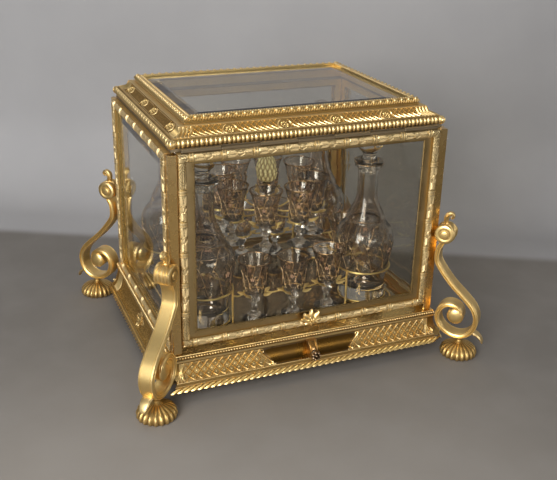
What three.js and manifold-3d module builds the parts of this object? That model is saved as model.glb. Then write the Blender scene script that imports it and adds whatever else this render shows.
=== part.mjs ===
// Liqueur cabinet: a glazed gilt case on four scroll legs, with a lift-out stand of decanters and glasses.
// Millimetres, +Z up. The front faces -Y and the origin is on the ground under the middle of the case.
import * as THREE from "three";
import { mergeVertices } from "three/addons/utils/BufferGeometryUtils.js";
import Module from "manifold-3d";

const wasm = await Module();
wasm.setup();

// Fits shared by all pieces
const fit = 0.3;
const overrun = 3;

// Case: four posts with framed panels between them
const caseWidth = 320;
const caseDepth = 258;
const postSize = 10;
const postHeight = 223.7;
const frameBack = 9;
const mouldWidth = 8.5;
const mouldRise = 2.8;
const slipWidth = 2.2;
const slipDepth = 1.5;
const slipThickness = 1.5;
const paneThickness = 3;
const paneBevelDepth = 1.2;
const paneBevelWidth = 12;
const mouldArcSteps = 6;

// Base: cavetto moulding, top plate, underplate and polished floor
const baseBottom = 14;
const leafBandHeight = 8;
const leafBandChamfer = 1.2;
const baseOverhang = 16;
const coveFootSetback = 3;
const coveFootStep = 3;
const coveHeadOverhang = 3;
const coveHeadStep = 2.5;
const coveFillet = 1;
const coveArcSteps = 7;
const mouldingHeight = 32;
const mouldingWall = 6;
const plateWall = 14;
const baseLedge = 5;
const underplateThickness = 2;
const ledgeThickness = 2.5;
const topPlateThickness = 5.7;
const topPlateOverhang = 4.4;
const topPlateStep = 2.7;

// Legs: a flat ribbon in each corner's diagonal plane, running down an S from a top scroll to a volute
const legWidth = 17;
const legThickness = 6;
const bossRise = 1;
const legReach = 56;
const legHeight = 154;
const legSteps = 34;
const legPathShares = [
  [0.143, 0.929],
  [0.075, 0.877],
  [0.057, 0.825],
  [0.075, 0.773],
  [0.177, 0.711],
  [0.436, 0.599],
  [0.743, 0.497],
  [0.92, 0.425],
  [1.0, 0.351],
  [0.973, 0.266],
  [0.866, 0.208],
  [0.686, 0.177],
  [0.455, 0.188],
  [0.271, 0.236],
  [0.186, 0.308],
  [0.218, 0.375],
  [0.321, 0.419],
  [0.446, 0.432],
  [0.589, 0.416],
  [0.67, 0.37],
  [0.625, 0.318]
];
const scrollCentreShares = [0.166, 1.0];
const scrollRadiusShare = 0.08;
const scrollWidth = 20;
const voluteCentreShares = [0.563, 0.341];
const voluteRadiusShare = 0.175;
const budRadius = 3.4;
const budHeightShare = 0.097;
const spurWidth = 9;
const spurShares = [
  [0.9, 0.2],
  [1.02, 0.203],
  [1.11, 0.185],
  [1.17, 0.147],
  [1.1, 0.16],
  [1.0, 0.172],
  [0.88, 0.172]
];
const slotStart = 6.9;

// Feet: a domed shell on the ground with a neck that carries the leg
const footReachShare = 0.686;
const footRadius = 22.3;
const footDomeHeight = 16.5;
const footNeckRadius = 3.6;
const footProfileShares = [
  [0.92, 0],
  [1, 0.18],
  [0.985, 0.36],
  [0.875, 0.575],
  [0.695, 0.74],
  [0.47, 0.9],
  [0.29, 1]
];

// Catch: a rosette button in a bracket on the front of the base
const catchShare = 0.547;
const bracketWidth = 12;
const bracketTopShare = 0.97;
const bracketBottomShare = 0.33;
const bracketTopProud = 6;
const bracketBottomProud = 3.5;
const buttonTravel = 3;
const rosetteRadius = 6.2;
const rosetteThickness = 4;
const stemRadius = 2;
const boreRadius = 2.5;
const springRadius = 3.4;
const springLength = 3.4;
const collarRadius = 3.6;
const collarThickness = 1.6;

// Lid: reeded rim, sloping frieze, beaded top frame and a bevelled pane, hinged along the back
const skirtInset = 5.5;
const skirtThickness = 3.5;
const rimInset = 3.3;
const reedRadius = 4.4;
const reedLand = 0.4;
const rimLand = 5.4;
const friezeFoot = 8.6;
const friezeRun = 10.9;
const friezeHeight = 9;
const friezeSag = 2.2;
const friezeWall = 2.5;
const friezeArcSteps = 4;
const topFrameStep = 5.5;
const topFrameWidth = 8.5;
const topFrameHeight = 8.2;
const topFrameChamfer = 2;
const lidLedge = 3.5;
const lidPaneThickness = 5.2;
const lidBevelWidth = 13;
const lidHingeBack = 3.5;
const lidKnuckleRadius = 2.6;
const lidPinRadius = 1.3;
const lidHingeMargin = 35;
const lidKnuckleCount = 5;
const lidLeafThickness = 1;
const lidTabThickness = 1.6;
const knuckleGap = 0.5;

// Front flap: hangs from the lid's front edge on a thin hinge
const flapGap = 9;
const flapRise = 1;
const flapProud = 0.5;
const flapBack = 8;
const flapSideSlip = 9.5;
const flapTopSlip = 4;
const flapBottomSlip = 8;
const flapSlipDepth = 2.5;
const flapPaneThickness = 3;
const flapHingeBack = 0.5;
const flapHingeGap = 0.4;
const flapKnuckleRadius = 1.6;
const flapPinRadius = 0.75;
const flapHingeMargin = 3.7;
const flapKnuckleCount = 7;
const pullWidth = 23;
const pullHeight = 22;
const pullThickness = 3.6;
const pullShares = [
  [0.5, 0.3],
  [0.36, 0.52],
  [0.42, 0.72],
  [0.2, 0.74],
  [0, 1],
  [-0.2, 0.74],
  [-0.42, 0.72],
  [-0.36, 0.52],
  [-0.5, 0.3],
  [-0.22, 0.24],
  [0, 0],
  [0.22, 0.24]
];

// Service stand: a footed tray with rings for the decanters and forks for the glasses.
// Plan sizes are shares of the widest service that the case can take, heights are shares of the posts.
const caseProportion = 1.2404;
const standShift = -4;
const trayFootHeight = 4.4;
const trayFootRadius = 4.5;
const trayThickness = 2.5;
const trayMargin = 4;
const trayCornerSteps = 4;
const decanterRowShare = 0.3156;
const decanterDepthShare = 0.2094;
const ringRiseShare = 0.1685;
const ringHugShare = 0.86;
const ringWire = 1.1;
const ringGap = 0.8;
const ringSteps = 12;
const uprightRadius = 1.4;
const uprightAngle = 207;
const glassRowShare = 0.1438;
const glassRowDepthShare = 0.2563;
const middleGlassDepthShare = 0.275;
const sideGlassRowShare = 0.3281;
const upperGlassCount = 8;
const upperGlassRingShare = 0.175;
const upperGlassDrop = 3;
const forkRiseShare = 0.1314;
const forkHugShare = 0.538;
const forkWire = 1;
const forkGap = 1;
const forkSteps = 6;
const forkOpening = 90;
const fullTurn = 360;
const linkRadius = 0.95;
const wireSides = 4;
const stemWire = 2.2;
const finialRiseShare = 0.59;
const finialHeight = 33;
const finialRadius = 11.4;
const finialProfileShares = [
  [0.19, -0.1],
  [0.44, 0.015],
  [0.74, 0.08],
  [0.98, 0.24],
  [1, 0.42],
  [0.86, 0.68],
  [0.53, 0.89]
];

// Decanters and stoppers
const decanterSides = 12;
const decanterRadiusShare = 0.1106;
const decanterHeightShare = 0.7497;
const decanterProfileShares = [
  [0.755, 0],
  [0.777, 0.012],
  [0.777, 0.131],
  [0.828, 0.18],
  [0.918, 0.31],
  [1, 0.41],
  [0.946, 0.495],
  [0.79, 0.543],
  [0.636, 0.57],
  [0.636, 0.608],
  [0.41, 0.698],
  [0.339, 0.77],
  [0.345, 0.94],
  [0.48, 0.97],
  [0.48, 1]
];
const decanterHollowShares = [
  [0.243, 1],
  [0.243, 0.763],
  [0.53, 0.6],
  [0.74, 0.525],
  [0.88, 0.44],
  [0.72, 0.227],
  [0.69, 0.09]
];
const decanterFloorShare = 0.075;
const stopperSides = 10;
const stopperRadiusShare = 0.424;
const stopperHeightShare = 0.1654;
const plugLength = 14;
const plugGap = 0.9;
const plugTaper = 1.2;
const shoulderOverlap = 2.3;
const shoulderHeight = 1.8;
const stopperProfileShares = [
  [0.52, 0.12],
  [0.6, 0.27],
  [0.93, 0.4],
  [1, 0.56],
  [0.9, 0.76],
  [0.53, 0.92]
];

// Glasses
const glassSides = 9;
const glassHeightShare = 0.3219;
const glassRadiusShare = 0.061;
const glassProfileShares = [
  [0.744, 0],
  [0.744, 0.02],
  [0.23, 0.11],
  [0.154, 0.18],
  [0.308, 0.278],
  [0.174, 0.34],
  [0.538, 0.417],
  [0.655, 0.5],
  [0.69, 0.66],
  [0.862, 0.889],
  [1, 1]
];
const glassHollowShares = [
  [0.959, 1],
  [0.815, 0.889],
  [0.64, 0.66],
  [0.585, 0.5],
  [0.41, 0.438]
];
const glassFloorShare = 0.42;

// Half sizes, insets and levels that follow from the sizes above
const halfWidth = caseWidth / 2;
const halfDepth = caseDepth / 2;
const mouldingTop = baseBottom + mouldingHeight;
const baseTop = mouldingTop + fit + topPlateThickness;
const postBottom = baseTop + fit;
const postTop = postBottom + postHeight;
const coveFootOverhang = baseOverhang - coveFootSetback;
const catchHeight = baseBottom + catchShare * mouldingHeight;
const bracketTop = baseBottom + bracketTopShare * mouldingHeight;
const bracketBottom = baseBottom + bracketBottomShare * mouldingHeight;
const bracketFrontTop = coveHeadOverhang + bracketTopProud;
const bracketFrontBottom = coveFootOverhang + bracketBottomProud;
const scrollRadius = scrollRadiusShare * legHeight;
const voluteRadius = voluteRadiusShare * legReach;
const budHeight = budHeightShare * legHeight;
const flapWidth = caseWidth - 2 * postSize - 2 * fit;
const flapBottom = baseTop + flapGap;
const flapTop = postTop + flapRise;
const flapHingeHeight = flapTop + flapHingeGap + flapKnuckleRadius;
const flapHingeLength = flapWidth - 2 * flapHingeMargin;
const flapPlane = halfDepth + flapProud;
const flapHingeY = -(flapPlane - flapHingeBack);
const lidBottom = flapHingeHeight + flapKnuckleRadius + flapHingeGap;
const lidHingeHeight = postTop + fit + lidLeafThickness / 2 + lidKnuckleRadius;
const lidHingeLength = caseWidth - 2 * lidHingeMargin;
const lidHingeY = halfDepth + lidHingeBack;
const skirtInner = skirtInset + skirtThickness;
const rimTop = lidBottom + 2 * reedRadius + reedLand;
const rimInner = friezeFoot + rimLand;
const friezeHead = friezeFoot + friezeRun;
const friezeInner = friezeHead + friezeWall;
const friezeTop = rimTop + fit + friezeHeight;
const topFrameOuter = friezeHead + topFrameStep;
const topFrameInner = topFrameOuter + topFrameWidth;
const topFrameTop = friezeTop + fit + topFrameHeight;
const trayBottom = baseTop + trayFootHeight;
const trayTop = trayBottom + trayThickness;
const vesselBase = trayTop + fit;
const serviceWidth = Math.min(caseWidth, caseDepth * caseProportion);
const decanterRadius = decanterRadiusShare * serviceWidth;
const decanterHeight = decanterHeightShare * postHeight;
const decanterRow = decanterRowShare * serviceWidth;
const decanterDepth = decanterDepthShare * serviceWidth;
const stopperRadius = stopperRadiusShare * decanterRadius;
const stopperHeight = stopperHeightShare * postHeight;
const glassRadius = glassRadiusShare * serviceWidth;
const glassHeight = glassHeightShare * postHeight;
const glassRow = glassRowShare * serviceWidth;
const glassRowDepth = glassRowDepthShare * serviceWidth;
const middleGlassDepth = middleGlassDepthShare * serviceWidth;
const sideGlassRow = sideGlassRowShare * serviceWidth;
const upperGlassRadius = upperGlassRingShare * serviceWidth;
const upperGlassRise = glassHeight - upperGlassDrop;
const ringRadius = ringHugShare * decanterRadius + ringWire + ringGap;
const ringHeight = vesselBase + ringRiseShare * postHeight;
const forkRadius = forkHugShare * glassRadius + forkWire + forkGap;
const forkRise = forkRiseShare * postHeight;
const finialRise = finialRiseShare * postHeight;

// Finishes
function metal(color, roughness) {
  return new THREE.MeshStandardMaterial({ color, roughness, metalness: 1 });
}

function clear(color, roughness, opacity) {
  return new THREE.MeshStandardMaterial({ color, roughness, opacity, transparent: true });
}

const finish = {
  gilt: metal(0xb98a3a, 0.34),
  polished: metal(0xc79a4a, 0.14),
  bronze: metal(0x5b3b1c, 0.4),
  steel: metal(0x8d8f92, 0.35),
  pane: clear(0xdde6dd, 0.05, 0.3),
  crystal: clear(0xe9e4da, 0.04, 0.4)
};

const cabinet = new THREE.Group();
export default cabinet;

// Placing and joining

function add(name, geometry, material, place = [0, 0, 0], turn = [0, 0, 0], parent = cabinet) {
  const mesh = new THREE.Mesh(geometry, material);
  mesh.name = name;
  mesh.position.set(...place);
  mesh.rotation.set(...turn);
  parent.add(mesh);
  return mesh;
}

function moved(geometry, place = [0, 0, 0], turn = [0, 0, 0]) {
  const matrix = new THREE.Matrix4().makeRotationFromEuler(new THREE.Euler(...turn));
  matrix.setPosition(...place);
  return geometry.clone().applyMatrix4(matrix);
}

function solid(geometry) {
  const bare = geometry.clone();
  bare.deleteAttribute("normal");
  bare.deleteAttribute("uv");
  const merged = mergeVertices(bare);
  const corners = merged.index.array;
  const kept = [];
  for (let i = 0; i < corners.length; i += 3) {
    const [a, b, c] = corners.subarray(i, i + 3);
    if (a !== b && b !== c && c !== a) {
      kept.push(a, b, c);
    }
  }
  const vertProperties = new Float32Array(merged.attributes.position.array);
  const triVerts = new Uint32Array(kept);
  return new wasm.Manifold(new wasm.Mesh({ numProp: 3, vertProperties, triVerts }));
}

function geometryOf(manifold) {
  const mesh = manifold.getMesh();
  const geometry = new THREE.BufferGeometry();
  geometry.setAttribute("position", new THREE.BufferAttribute(new Float32Array(mesh.vertProperties), 3));
  geometry.setIndex(new THREE.BufferAttribute(new Uint32Array(mesh.triVerts), 1));
  return geometry;
}

function join(geometries) {
  return geometries.map(solid).reduce((whole, piece) => whole.add(piece));
}

function cut(whole, geometries) {
  return geometries.map(solid).reduce((rest, piece) => rest.subtract(piece), whole);
}

// Basic forms

// Closed tube of quads through rings of equal length; its faces are turned outward afterwards.
function skin(rings, closed) {
  const count = rings[0].length;
  const triangles = [];
  const spans = closed ? rings.length : rings.length - 1;
  for (let i = 0; i < spans; i++) {
    const next = (i + 1) % rings.length;
    for (let j = 0; j < count; j++) {
      const k = (j + 1) % count;
      const [a, b, c, d] = [i * count + j, i * count + k, next * count + k, next * count + j];
      triangles.push(a, b, c, a, c, d);
    }
  }
  if (!closed) {
    const last = (rings.length - 1) * count;
    for (let j = 1; j < count - 1; j++) {
      triangles.push(0, j + 1, j, last, last + j, last + j + 1);
    }
  }
  return outward(rings.flat(), triangles);
}

function outward(points, triangles) {
  let volume = 0;
  for (let i = 0; i < triangles.length; i += 3) {
    const [a, b, c] = [points[triangles[i]], points[triangles[i + 1]], points[triangles[i + 2]]];
    volume += a.dot(b.clone().cross(c));
  }
  const faces = volume < 0 ? [...triangles].reverse() : triangles;
  const geometry = new THREE.BufferGeometry().setFromPoints(points);
  geometry.setIndex(faces);
  return geometry;
}

// Mitred ring of a moulding around a rectangle: section points are [outward, up].
function mitredRing(section, halfX, halfY) {
  const corners = [
    [1, 1],
    [-1, 1],
    [-1, -1],
    [1, -1]
  ];
  const rings = corners.map(([x, y]) =>
    section.map(([out, up]) => new THREE.Vector3(x * (halfX + out), y * (halfY + out), up))
  );
  return skin(rings, true);
}

function block(x0, x1, y0, y1, z0, z1) {
  const box = new THREE.BoxGeometry(x1 - x0, y1 - y0, z1 - z0);
  return moved(box, [(x0 + x1) / 2, (y0 + y1) / 2, (z0 + z1) / 2]);
}

// Bevelled pane lying flat, its bevelled face up.
function pane(halfX, halfY, thickness, bevelWidth, bevelDepth) {
  const level = (inset, z) =>
    [
      [1, 1],
      [-1, 1],
      [-1, -1],
      [1, -1]
    ].map(([x, y]) => new THREE.Vector3(x * (halfX - inset), y * (halfY - inset), z));
  return skin([level(0, 0), level(0, thickness - bevelDepth), level(bevelWidth, thickness)], false);
}

function arc(centreX, centreY, radiusX, radiusY, from, to, steps) {
  const points = [];
  for (let i = 0; i <= steps; i++) {
    const angle = THREE.MathUtils.degToRad(from + ((to - from) * i) / steps);
    points.push([centreX + radiusX * Math.cos(angle), centreY + radiusY * Math.sin(angle)]);
  }
  return points;
}

// Turned form about +Z: profile points are [radius, height], and start and end on the axis.
function turned(profile, sides) {
  const points = profile.map(([r, z]) => new THREE.Vector2(r, z));
  return moved(new THREE.LatheGeometry(points, sides), [0, 0, 0], [Math.PI / 2, 0, 0]);
}

function scaled(shares, radius, height, lift = 0) {
  return shares.map(([r, z]) => [r * radius, z * height + lift]);
}

function rod(from, to, radius, sides) {
  const start = new THREE.Vector3(...from);
  const end = new THREE.Vector3(...to);
  const length = start.distanceTo(end);
  const bar = new THREE.CylinderGeometry(radius, radius, length, sides);
  const along = end.clone().sub(start).normalize();
  bar.applyQuaternion(new THREE.Quaternion().setFromUnitVectors(new THREE.Vector3(0, 1, 0), along));
  const middle = start.add(end).multiplyScalar(1 / 2);
  bar.translate(middle.x, middle.y, middle.z);
  return bar;
}

function alongX(radius, length, sides, place) {
  return moved(new THREE.CylinderGeometry(radius, radius, length, sides), place, [0, 0, Math.PI / 2]);
}

function outline(points) {
  return new THREE.Shape(points.map(([x, y]) => new THREE.Vector2(x, y)));
}

// Extrusion of an outline in the XZ plane, centred on Y = 0.
function slab(points, width) {
  const body = new THREE.ExtrudeGeometry(outline(points), { depth: width, bevelEnabled: false });
  body.translate(0, 0, -width / 2);
  return moved(body, [0, 0, 0], [Math.PI / 2, 0, 0]);
}

const pinSides = 10;
const upright = [Math.PI / 2, 0, 0];

// Base

function baseMoulding() {
  const bandTop = baseBottom + leafBandHeight;
  const coveFoot = bandTop + coveFootStep;
  const coveHead = mouldingTop - coveHeadStep;
  const plateRoom = baseBottom + underplateThickness + fit;
  const coveDepth = coveFootOverhang - coveHeadOverhang;
  const cove = arc(coveFootOverhang, coveHead, coveDepth, coveHead - coveFoot, 270, 180, coveArcSteps);
  const section = [
    [-mouldingWall, baseBottom],
    [baseOverhang - leafBandChamfer, baseBottom],
    [baseOverhang, baseBottom + leafBandChamfer],
    [baseOverhang, bandTop - leafBandChamfer],
    [baseOverhang - leafBandChamfer, bandTop],
    ...cove,
    [coveHeadOverhang + coveFillet, coveHead + coveFillet],
    [coveHeadOverhang + coveFillet, mouldingTop],
    [-mouldingWall - baseLedge, mouldingTop],
    [-mouldingWall - baseLedge, mouldingTop - ledgeThickness],
    [-mouldingWall, mouldingTop - ledgeThickness],
    [-mouldingWall, plateRoom + ledgeThickness],
    [-mouldingWall - baseLedge, plateRoom + ledgeThickness],
    [-mouldingWall - baseLedge, plateRoom],
    [-mouldingWall, plateRoom]
  ];
  const ring = solid(mitredRing(section, halfWidth, halfDepth));
  const reach = (baseOverhang + mouldingWall) * Math.SQRT2;
  const slot = block(slotStart, slotStart + reach, -legWidth / 2 - fit, legWidth / 2 + fit, 0, baseTop);
  const slots = corners.map(({ x, y, turn }) =>
    moved(slot, [x * halfWidth, y * halfDepth, 0], [0, 0, turn])
  );
  const bore = moved(
    new THREE.CylinderGeometry(boreRadius, boreRadius, mouldingWall + baseOverhang + 2 * overrun, pinSides),
    [0, -halfDepth - (baseOverhang - mouldingWall) / 2, catchHeight]
  );
  return cut(ring, [...slots, bore]);
}

const corners = [
  { name: "front_left", x: -1, y: -1 },
  { name: "front_right", x: 1, y: -1 },
  { name: "back_left", x: -1, y: 1 },
  { name: "back_right", x: 1, y: 1 }
].map((corner) => ({ ...corner, turn: Math.atan2(corner.y, corner.x) }));

function topPlate() {
  const section = [
    [topPlateOverhang, mouldingTop + fit],
    [topPlateOverhang, baseTop],
    [-plateWall, baseTop],
    [-plateWall, baseTop - topPlateStep - fit],
    [-plateWall - baseLedge, baseTop - topPlateStep - fit],
    [-plateWall - baseLedge, mouldingTop + fit]
  ];
  return mitredRing(section, halfWidth, halfDepth);
}

function buildBase() {
  const moulding = baseMoulding();
  add("base_moulding", geometryOf(moulding), finish.gilt);
  add("base_top_plate", topPlate(), finish.gilt);
  const sheet = (wall, z0, z1) => {
    const [x, y] = [halfWidth - wall - fit, halfDepth - wall - fit];
    return block(-x, x, -y, y, z0, z1);
  };
  const underplate = sheet(mouldingWall, baseBottom, baseBottom + underplateThickness);
  add("base_underplate", underplate, finish.bronze);
  add("floor_mirror", sheet(plateWall, baseTop - topPlateStep, baseTop), finish.polished);
  buildCatch(moulding);
}

// Catch: local X is outward from the front of the case, local Z is up

function buildCatch(moulding) {
  const turn = [0, 0, -Math.PI / 2];
  const place = [0, -halfDepth, 0];
  const bracketOutline = [
    [0, bracketBottom],
    [bracketFrontBottom, bracketBottom],
    [bracketFrontBottom, catchHeight + rosetteRadius / 2],
    [bracketFrontTop, bracketTop],
    [0, bracketTop]
  ];
  const seat = bracketFrontBottom - springLength - fit;
  const seatLength = springLength + fit + overrun;
  const seatPlace = [seat + seatLength / 2, 0, catchHeight];
  const counterbore = alongX(springRadius + fit, seatLength, pinSides, seatPlace);
  const borePlace = [bracketFrontBottom / 2, 0, catchHeight];
  const bore = alongX(boreRadius, bracketFrontBottom + 2 * overrun, pinSides, borePlace);
  const local = solid(slab(bracketOutline, bracketWidth));
  const placed = moved(geometryOf(cut(local, [counterbore, bore])), place, turn);
  const behind = moulding.translate([0, -fit, 0]).add(moulding.translate([0, 0, fit]));
  const remains = solid(placed).subtract(behind).decompose();
  const bracket = remains.sort((a, b) => b.volume() - a.volume())[0];
  add("catch_bracket", geometryOf(bracket), finish.bronze);

  const back = bracketFrontBottom + buttonTravel + fit;
  const collarFace = -mouldingWall - fit;
  const profile = [
    [0, collarFace - collarThickness],
    [collarRadius, collarFace - collarThickness],
    [collarRadius, collarFace],
    [stemRadius, collarFace],
    [stemRadius, back],
    [rosetteRadius, back],
    [rosetteRadius, back + rosetteThickness / 2],
    [rosetteRadius / 2, back + rosetteThickness],
    [0, back + rosetteThickness]
  ];
  const centre = [0, -halfDepth, catchHeight];
  add("catch_button", turned(profile, pinSides), finish.bronze, centre, upright);
  const spring = [
    [stemRadius + fit, seat + fit],
    [springRadius, seat + fit],
    [springRadius, back - fit],
    [stemRadius + fit, back - fit],
    [stemRadius + fit, seat + fit]
  ];
  add("catch_spring", turned(spring, pinSides), finish.steel, centre, upright);
}

// Case sides: local Y is up and local Z is outward before the panel is stood up

function sideGroup(turn) {
  const group = new THREE.Group();
  group.rotation.z = turn;
  cabinet.add(group);
  return group;
}

function halfRound(width, rise) {
  return arc(-width / 2, 0, width / 2, rise, 0, 180, mouldArcSteps);
}

function panelFrame(halfX, halfY) {
  const section = [
    [0, -frameBack],
    ...halfRound(mouldWidth, mouldRise),
    [-mouldWidth, -slipDepth],
    [-mouldWidth - slipWidth, -slipDepth],
    [-mouldWidth - slipWidth, -slipDepth - slipThickness],
    [-mouldWidth + fit, -slipDepth - slipThickness],
    [-mouldWidth + fit, -frameBack]
  ];
  return mitredRing(section, halfX, halfY);
}

function buildSides() {
  const height = postTop - postBottom;
  const middle = (postTop + postBottom) / 2;
  const sides = [
    { name: "back", turn: Math.PI, half: halfWidth - postSize - fit, plane: halfDepth },
    { name: "left", turn: -Math.PI / 2, half: halfDepth - postSize - fit, plane: halfWidth },
    { name: "right", turn: Math.PI / 2, half: halfDepth - postSize - fit, plane: halfWidth }
  ];
  for (const side of sides) {
    const group = sideGroup(side.turn);
    const place = [0, -side.plane, middle];
    add(side.name + "_frame", panelFrame(side.half, height / 2), finish.gilt, place, upright, group);
    const paneX = side.half - mouldWidth;
    const paneY = height / 2 - mouldWidth;
    const glass = pane(paneX, paneY, paneThickness, paneBevelWidth + slipWidth, paneBevelDepth);
    const glassBack = -slipDepth - slipThickness - fit - paneThickness;
    add(side.name + "_glass", moved(glass, [0, 0, glassBack]), finish.pane, place, upright, group);
  }
  for (const { name, x, y } of corners) {
    const post = new THREE.BoxGeometry(postSize, postSize, height);
    const place = [x * (halfWidth - postSize / 2), y * (halfDepth - postSize / 2), middle];
    add("post_" + name, post, finish.polished, place);
  }
}

// Legs and feet: local X is outward along the diagonal from the post's corner

function legPoint([reach, height]) {
  return [reach * legReach, height * legHeight];
}

function ribbonOutline() {
  const points = legPathShares.map(legPoint).map(([x, z]) => new THREE.Vector3(x, z, 0));
  const path = new THREE.CatmullRomCurve3(points);
  const left = [];
  const right = [];
  for (let i = 0; i <= legSteps; i++) {
    const point = path.getPointAt(i / legSteps);
    const along = path.getTangentAt(i / legSteps);
    left.push([point.x - (along.y * legThickness) / 2, point.y + (along.x * legThickness) / 2]);
    right.push([point.x + (along.y * legThickness) / 2, point.y - (along.x * legThickness) / 2]);
  }
  return [...left, ...right.reverse()];
}

function legDisc(centre, radius, width, sides) {
  const [x, z] = legPoint(centre);
  return moved(new THREE.CylinderGeometry(radius, radius, width, sides), [x, 0, z]);
}

function buildLegs() {
  const ribbon = ribbonOutline();
  const sole = Math.min(...ribbon.map(([, z]) => z));
  const [scrollX, scrollZ] = legPoint(scrollCentreShares);
  const budFoot = scrollZ + scrollRadius;
  const bud = turned(
    [
      [0, budFoot - overrun],
      [budRadius / 2, budFoot - overrun],
      [budRadius / 2, budFoot + budHeight / 4],
      [budRadius, budFoot + budHeight / 2],
      [budRadius, budFoot + (3 * budHeight) / 4],
      [0, budFoot + budHeight]
    ],
    pinSides
  );
  const leg = join([
    slab(ribbon, legWidth),
    legDisc(scrollCentreShares, scrollRadius, scrollWidth, 16),
    legDisc(scrollCentreShares, scrollRadius / 2, scrollWidth + 2 * bossRise, 12),
    legDisc(voluteCentreShares, voluteRadius, legWidth + 2 * bossRise, 16),
    moved(bud, [scrollX, 0, 0]),
    slab(spurShares.map(legPoint), spurWidth)
  ]);
  const notchSize = 3 * postSize;
  const notch = moved(
    new THREE.BoxGeometry(notchSize, notchSize, 2 * legHeight),
    [(fit - notchSize / 2) * Math.SQRT2, 0, legHeight],
    [0, 0, Math.PI / 4]
  );
  const legBody = cut(leg, [notch]);
  const footTop = sole - fit;
  const footProfile = [
    [0, 0],
    ...scaled(footProfileShares, footRadius, footDomeHeight),
    [footNeckRadius, footDomeHeight + (footTop - footDomeHeight) / 4],
    [footNeckRadius, footTop],
    [0, footTop]
  ];
  for (const { name, x, y, turn } of corners) {
    const place = [x * halfWidth, y * halfDepth, 0];
    add("leg_" + name, geometryOf(legBody), finish.gilt, place, [0, 0, turn]);
    const diagonal = (footReachShare * legReach) / Math.SQRT2;
    const under = [place[0] + x * diagonal, place[1] + y * diagonal, 0];
    add("foot_" + name, turned(footProfile, 16), finish.gilt, under);
  }
}

// Lid

// Knuckles of a hinge along X: the even or odd ones of a row, each a short pierced barrel with its tab.
function knuckles(length, count, odd, radius, hole, tab) {
  const pitch = length / count;
  const pieces = [];
  for (let i = odd; i < count; i += 2) {
    const x = (i + 1 / 2) * pitch - length / 2;
    const barrel = alongX(radius, pitch - knuckleGap, pinSides, [x, 0, 0]);
    const half = (pitch - knuckleGap) / 2;
    pieces.push(barrel, block(x - half, x + half, ...tab));
  }
  const bore = alongX(hole, length + 2 * overrun, pinSides, [0, 0, 0]);
  return { pieces, bore };
}

function lidRim() {
  const centre = lidBottom + reedRadius;
  const section = [
    [-skirtInner, postTop + fit],
    [-skirtInset, postTop + fit],
    [-skirtInset - fit, lidBottom],
    ...arc(-rimInset - reedRadius, centre, reedRadius, reedRadius, -90, 90, mouldArcSteps),
    [-friezeFoot, rimTop],
    [-rimInner, rimTop],
    [-rimInner, lidBottom + fit],
    [-skirtInner, lidBottom]
  ];
  const ring = solid(mitredRing(section, halfWidth, halfDepth));
  const rear = knuckles(lidHingeLength, lidKnuckleCount, 1, lidKnuckleRadius, lidPinRadius + fit, [
    halfDepth - rimInset - reedRadius - lidHingeY,
    0,
    lidBottom - lidHingeHeight,
    lidBottom - lidHingeHeight + lidTabThickness
  ]);
  const front = knuckles(flapHingeLength, flapKnuckleCount, 0, flapKnuckleRadius, flapPinRadius + fit, [
    -flapKnuckleRadius / 2,
    -flapHingeY - halfDepth + rimInset + reedRadius,
    flapKnuckleRadius / 2,
    lidBottom + fit - flapHingeHeight
  ]);
  const rearPlace = [0, lidHingeY, lidHingeHeight];
  const frontPlace = [0, flapHingeY, flapHingeHeight];
  const pieces = [
    ...rear.pieces.map((piece) => moved(piece, rearPlace)),
    ...front.pieces.map((piece) => moved(piece, frontPlace))
  ];
  const flapRoom = block(
    -flapWidth / 2 - fit,
    flapWidth / 2 + fit,
    -halfDepth,
    -halfDepth + flapBack + overrun,
    postTop,
    flapTop + fit
  );
  const whole = cut(ring, [flapRoom]).add(join(pieces));
  return cut(whole, [moved(rear.bore, rearPlace), moved(front.bore, frontPlace)]);
}

function lidFrieze() {
  const foot = rimTop + fit;
  const slope = [];
  for (let i = 0; i <= friezeArcSteps; i++) {
    const share = i / friezeArcSteps;
    const sag = friezeSag * Math.sin(Math.PI * share);
    const inward = friezeFoot + (friezeHead - friezeFoot) * share + sag;
    slope.push([-inward, foot + (friezeTop - foot) * share - sag]);
  }
  const section = [
    ...slope,
    [-topFrameInner - lidLedge, friezeTop],
    [-topFrameInner - lidLedge, friezeTop - friezeSag],
    [-friezeInner, friezeTop - 2 * friezeSag],
    [-rimInner, foot]
  ];
  return mitredRing(section, halfWidth, halfDepth);
}

function lidTopFrame() {
  const foot = friezeTop + fit;
  const section = [
    [-topFrameOuter, foot],
    [-topFrameOuter, topFrameTop - topFrameChamfer],
    [-topFrameOuter - topFrameChamfer, topFrameTop],
    [-topFrameInner + topFrameChamfer, topFrameTop],
    [-topFrameInner, topFrameTop - topFrameChamfer],
    [-topFrameInner, foot]
  ];
  return mitredRing(section, halfWidth, halfDepth);
}

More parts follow.
